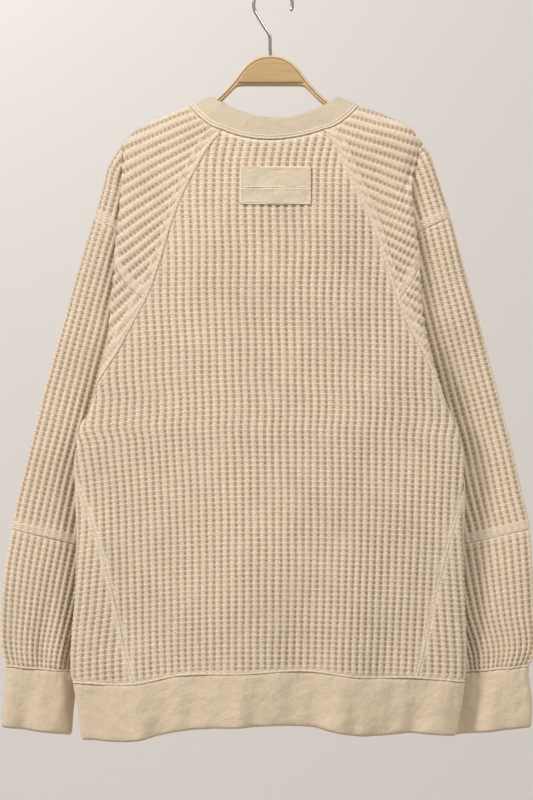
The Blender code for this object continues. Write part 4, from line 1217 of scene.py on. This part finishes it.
# A rectangle with round corners, drawn as a superellipse of power 24.
def patchOutline(margin, count):
    angle = np.linspace(0, 2 * math.pi, count, endpoint=False)
    reach = (np.abs(np.cos(angle)) ** 24 + np.abs(np.sin(angle)) ** 24) ** (-1 / 24)
    across = patch["middle"] + (patch["width"] / 2 - margin) * reach * np.cos(angle)
    down = patch["top"] + patch["height"] / 2 + (patch["height"] / 2 - margin) * reach * np.sin(angle)
    return across, down


patchPiece()
patchThread("patchBorder", *patchOutline(0.7, 260), True)
seamAcross = np.linspace(-0.49, 0.49, 90) * patch["width"] + patch["middle"]
seamDown = np.full_like(seamAcross, patch["seam"] - 1.2)
patchThread("patchSeam", seamAcross, seamDown, False)
print("patch made")

# ---- hanger ----
StationRow = namedtuple("StationRow", "reach top bottom")
arch = [
    StationRow(0, 75.5, 109.8), StationRow(11, 77, 109.8), StationRow(21, 81.5, 109.8),
    StationRow(30, 89.5, 109.8), StationRow(37, 98.5, 111), StationRow(45, 108.4, 118.2),
    StationRow(54, 117.8, 127), StationRow(66, 127.4, 136.2), StationRow(78, 132.2, 141),
]
hanger = dict(bar=10.0, clearance=0.85, underBand=0.6, slope=1.1, barStarts=92, reach=143, middle=-1,
              groove=1.1, grooveWidth=0.75, lineWidth=0.5, along=320, around=110)
inlay = dict(rim=4.4, reach=36, foot=105.5, gap=0.3)
hook = dict(wire=3.6, radius=21.2, centre=1.6, stem=8)


def shoulderLine(across):
    column = "left" if across < 0 else "right"
    downs = np.linspace(125, 167, 85)
    return float(np.interp(abs(across), np.abs(through(bodyTable, column, downs)), downs))


def hangerStations(side):
    stations = [(hanger["middle"] + side * row.reach, row.top, row.bottom) for row in arch]
    for step in range(9):
        reach = hanger["barStarts"] + (hanger["reach"] - hanger["barStarts"]) * step / 8
        across = hanger["middle"] + side * reach
        underBand = 1 - ease((reach - hanger["barStarts"]) / 12)
        clearance = hanger["clearance"] + hanger["underBand"] * underBand
        top = shoulderLine(across) + cloth["wall"] / 2 * hanger["slope"] + clearance
        stations.append((across, top, top + hanger["bar"] * hanger["slope"]))
    return np.array(stations, float)


# The wooden body: a rounded section, sine to the 0.8 by cosine to the 0.8, carried from arm to arm,
# with a groove, a bell curve deep, along the middle of each arm and of the rim round the inlay.
def hangerPiece():
    whole = np.concatenate([hangerStations(-1)[:0:-1], hangerStations(1)])
    length = np.concatenate([[0], np.cumsum(np.linalg.norm(np.diff(whole[:, [0, 1]], axis=0), axis=1))])
    fine = hermite(length, whole, np.linspace(0, length[-1], hanger["along"]))
    middle = (fine[:, 1] + fine[:, 2]) / 2
    rise = (fine[:, 2] - fine[:, 1]) / 2
    ends = np.sqrt(np.clip(1 - np.abs(np.linspace(-1, 1, hanger["along"])) ** 80, 0, 1))
    angle = np.linspace(0, 2 * math.pi, hanger["around"], endpoint=False)
    height = np.sign(np.sin(angle)) * np.abs(np.sin(angle)) ** 0.8
    depth = np.sign(np.cos(angle)) * np.abs(np.cos(angle)) ** 0.8
    place = np.zeros((hanger["along"], hanger["around"], 3))
    place[..., 0] = fine[:, :1]
    place[..., 1] = hanger["bar"] / 2 * depth * ends[:, None]
    place[..., 2] = middle[:, None] - (rise * ends)[:, None] * height
    onArm = ease((np.abs(fine[:, 0] - hanger["middle"]) - 34) / 10)
    slope = np.gradient(fine[:, 1], fine[:, 0])
    belowTop = (1 - onArm) * inlay["rim"] * 0.74 * np.hypot(1, slope) + onArm * rise
    fromGroove = (rise[:, None] * (1 - height) - belowTop[:, None]) / np.hypot(1, slope)[:, None]
    sunk = hanger["groove"] * np.exp(-(fromGroove / hanger["grooveWidth"]) ** 2)
    place[..., 1] -= np.sign(depth) * sunk
    outward = np.zeros_like(place)
    outward[..., 1] = depth
    outward[..., 2] = -height
    opened = 1 - 1.3 * np.exp(-(fromGroove / hanger["lineWidth"]) ** 2)
    return makePiece("hangerBody", place, gridQuads(*place.shape[:2], True), lightWood, None, opened,
                     outward)


# The flat inlay: its outline by the arch's own curve, set in by a margin, drawn as nested rings from
# the middle out with a small round edge.
def inlayPiece():
    reach = np.linspace(-inlay["reach"], inlay["reach"], 90)
    slope = (through(arch, "top", np.abs(reach) + 0.5) - through(arch, "top", np.abs(reach))) / 0.5
    top = through(arch, "top", np.abs(reach)) + inlay["rim"] * np.hypot(1, slope)
    top = np.minimum(top, inlay["foot"] - 1)
    foot = np.full_like(reach, inlay["foot"])
    outlineAcross = np.concatenate([reach, reach[::-1]])
    outlineDown = np.concatenate([top, foot])
    centre = np.array([0.0, 94.0])
    rings = [(1.0, 0.0), (1.0, 0.8), (0.985, 1.15), (0.96, 1.2), (0.6, 1.2), (0.25, 1.2), (0.0, 1.2)]
    face = -hanger["bar"] / 2 - inlay["gap"]
    place = np.zeros((len(rings), len(outlineAcross), 3))
    for number, (scale, out) in enumerate(rings):
        place[number, :, 0] = hanger["middle"] + centre[0] + (outlineAcross - centre[0]) * scale
        place[number, :, 1] = face - out
        place[number, :, 2] = centre[1] + (outlineDown - centre[1]) * scale
    outward = np.zeros_like(place)
    outward[..., 1] = -1
    back = place[:1].copy()
    back = np.concatenate([back * 0 + np.array([hanger["middle"], face, centre[1]]), back], 0)
    place = np.concatenate([back[:1], place], 0)
    outward = np.concatenate([outward[:1], outward], 0)
    return makePiece("hangerInlay", place, gridQuads(*place.shape[:2], True), tanInlay, None, None, None)


# The wire: a stem, a bend to the side, then an arc of a circle about the hanging point's centre.
def hookPiece():
    centreDown = hook["radius"] - hook["wire"] / 2
    stem = arch[0].top + 1.0
    path = [(hanger["middle"], 0, stem), (-1.4, 0, stem - 5), (-1.6, 0, stem - hook["stem"] - 1),
            (-2.6, 0, 53), (-8, 0, 44.5)]
    angle = np.radians(np.linspace(215, -22, 19))
    arc = np.stack([hook["centre"] + hook["radius"] * np.cos(angle), 0 * angle,
                    centreDown - hook["radius"] * np.sin(angle)], -1)
    rough = np.concatenate([np.array(path, float), arc])
    length = np.concatenate([[0], np.cumsum(np.linalg.norm(np.diff(rough, axis=0), axis=1))])
    fine = hermite(length, rough, np.linspace(0, length[-1], 260))
    ahead = unit(np.gradient(fine, axis=0))
    across = np.cross(ahead, np.array([0, 1.0, 0]))
    angle = np.linspace(0, 2 * math.pi, 20, endpoint=False)
    ring = np.cos(angle)[None, :, None] * across[:, None, :]
    ring = ring + np.sin(angle)[None, :, None] * np.array([0, 1.0, 0])
    toTip = (length[-1] - np.linspace(0, length[-1], 260)) / (hook["wire"] / 2)
    radius = hook["wire"] / 2 * np.sqrt(np.clip(1 - np.clip(1 - toTip, 0, 1) ** 2, 0, 1))
    place = fine[:, None, :] + ring * radius[:, None, None]
    return makePiece("hangerHook", place, gridQuads(260, 20, True), steel, None, None, ring)


hangerPiece()
inlayPiece()
hookPiece()
print("hanger made")

# ---- which solids the pieces stand for; those solids are hidden ----
standsFor = dict(
    backPanel="back_panel", frontPanel="front_panel", hemBand="hem_band", neckband="neckband",
    backPatch="back_patch", hangerBody="hanger_body", hangerInlay="hanger_panel",
    hangerHook="hanger_hook",
    shoulderleft="shoulder_left", shoulderright="shoulder_right", sleeveUpperleft="sleeve_upper_left",
    sleeveUpperright="sleeve_upper_right", sleeveLowerleft="sleeve_lower_left",
    sleeveLowerright="sleeve_lower_right", sidePanelleft="side_panel_left",
    sidePanelright="side_panel_right", cuffleft="cuff_left", cuffright="cuff_right",
)
for key, node in standsFor.items():
    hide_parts(node)

# Flat cuts in metres: width, length and area.
CutRow = namedtuple("CutRow", "key width length area slot")

# ---- stage: floor, backdrop, light and camera ----
stage = dict(floor=-1.9, wall=7.0, half=9.0, camera=3.4, frameHeight=0.880, centre=(-0.0055, -0.4547))


def stagePlane(name, corners, colour, glow):
    mesh = bpy.data.meshes.new(name)
    mesh.from_pydata(corners, [], [(0, 1, 2, 3)])
    material, shader = newMaterial(name, 0.95)
    shader.inputs["Base Color"].default_value = colour
    shader.inputs["Emission Color"].default_value = colour
    shader.inputs["Emission Strength"].default_value = glow
    mesh.materials.append(material)
    plane = bpy.data.objects.new(name, mesh)
    bpy.context.collection.objects.link(plane)


def areaLight(name, place, target, size, power, colour):
    data = bpy.data.lights.new(name, "AREA")
    data.shape = "RECTANGLE"
    data.size, data.size_y = size
    data.energy = power
    data.color = colour
    light = bpy.data.objects.new(name, data)
    light.location = place
    aim = np.array(target) - np.array(place)
    tilt = math.atan2(math.hypot(aim[0], aim[1]), -aim[2])
    light.rotation_euler = (tilt, 0, math.atan2(aim[0], -aim[1]) + math.pi)
    bpy.context.collection.objects.link(light)


half = stage["half"]
stagePlane("paleFloor", [(-half, -half, stage["floor"]), (half, -half, stage["floor"]),
                         (half, stage["wall"], stage["floor"]), (-half, stage["wall"], stage["floor"])],
           (0.60, 0.58, 0.56, 1), 0.1)
stagePlane("paleWall", [(-half, stage["wall"], stage["floor"]), (half, stage["wall"], stage["floor"]),
                        (half, stage["wall"], 6), (-half, stage["wall"], 6)],
           (0.85, 0.825, 0.80, 1), 0.03)
areaLight("keyLight", (-3.0, -2.1, 1.75), (0, 0, -0.45), (0.9, 0.9), 130, (1.0, 0.99, 0.975))
areaLight("fillLight", (1.3, -1.5, 1.3), (0.12, 0, -0.1), (0.9, 0.9), 31, (1.0, 0.985, 0.955))
areaLight("wallLight", (-2.4, 5.2, 3.4), (0.4, 7, 0.2), (1.5, 1.5), 103, (1.0, 0.99, 0.98))
world = bpy.data.worlds.new("paleRoom")
world.use_nodes = True
world.node_tree.nodes["Background"].inputs["Color"].default_value = (1.0, 0.945, 0.88, 1)
world.node_tree.nodes["Background"].inputs["Strength"].default_value = 0.46
bpy.context.scene.world = world
bpy.context.scene.view_settings.view_transform = "Standard"

cameraData = bpy.data.cameras.new("camera")
cameraData.sensor_width = 36
cameraData.lens = 36 * stage["camera"] / stage["frameHeight"]
camera = bpy.data.objects.new("camera", cameraData)
camera.location = (stage["centre"][0], -stage["camera"], stage["centre"][1])
camera.rotation_euler = (math.pi / 2, 0, 0)
bpy.context.collection.objects.link(camera)
bpy.context.scene.camera = camera
print("stage made")
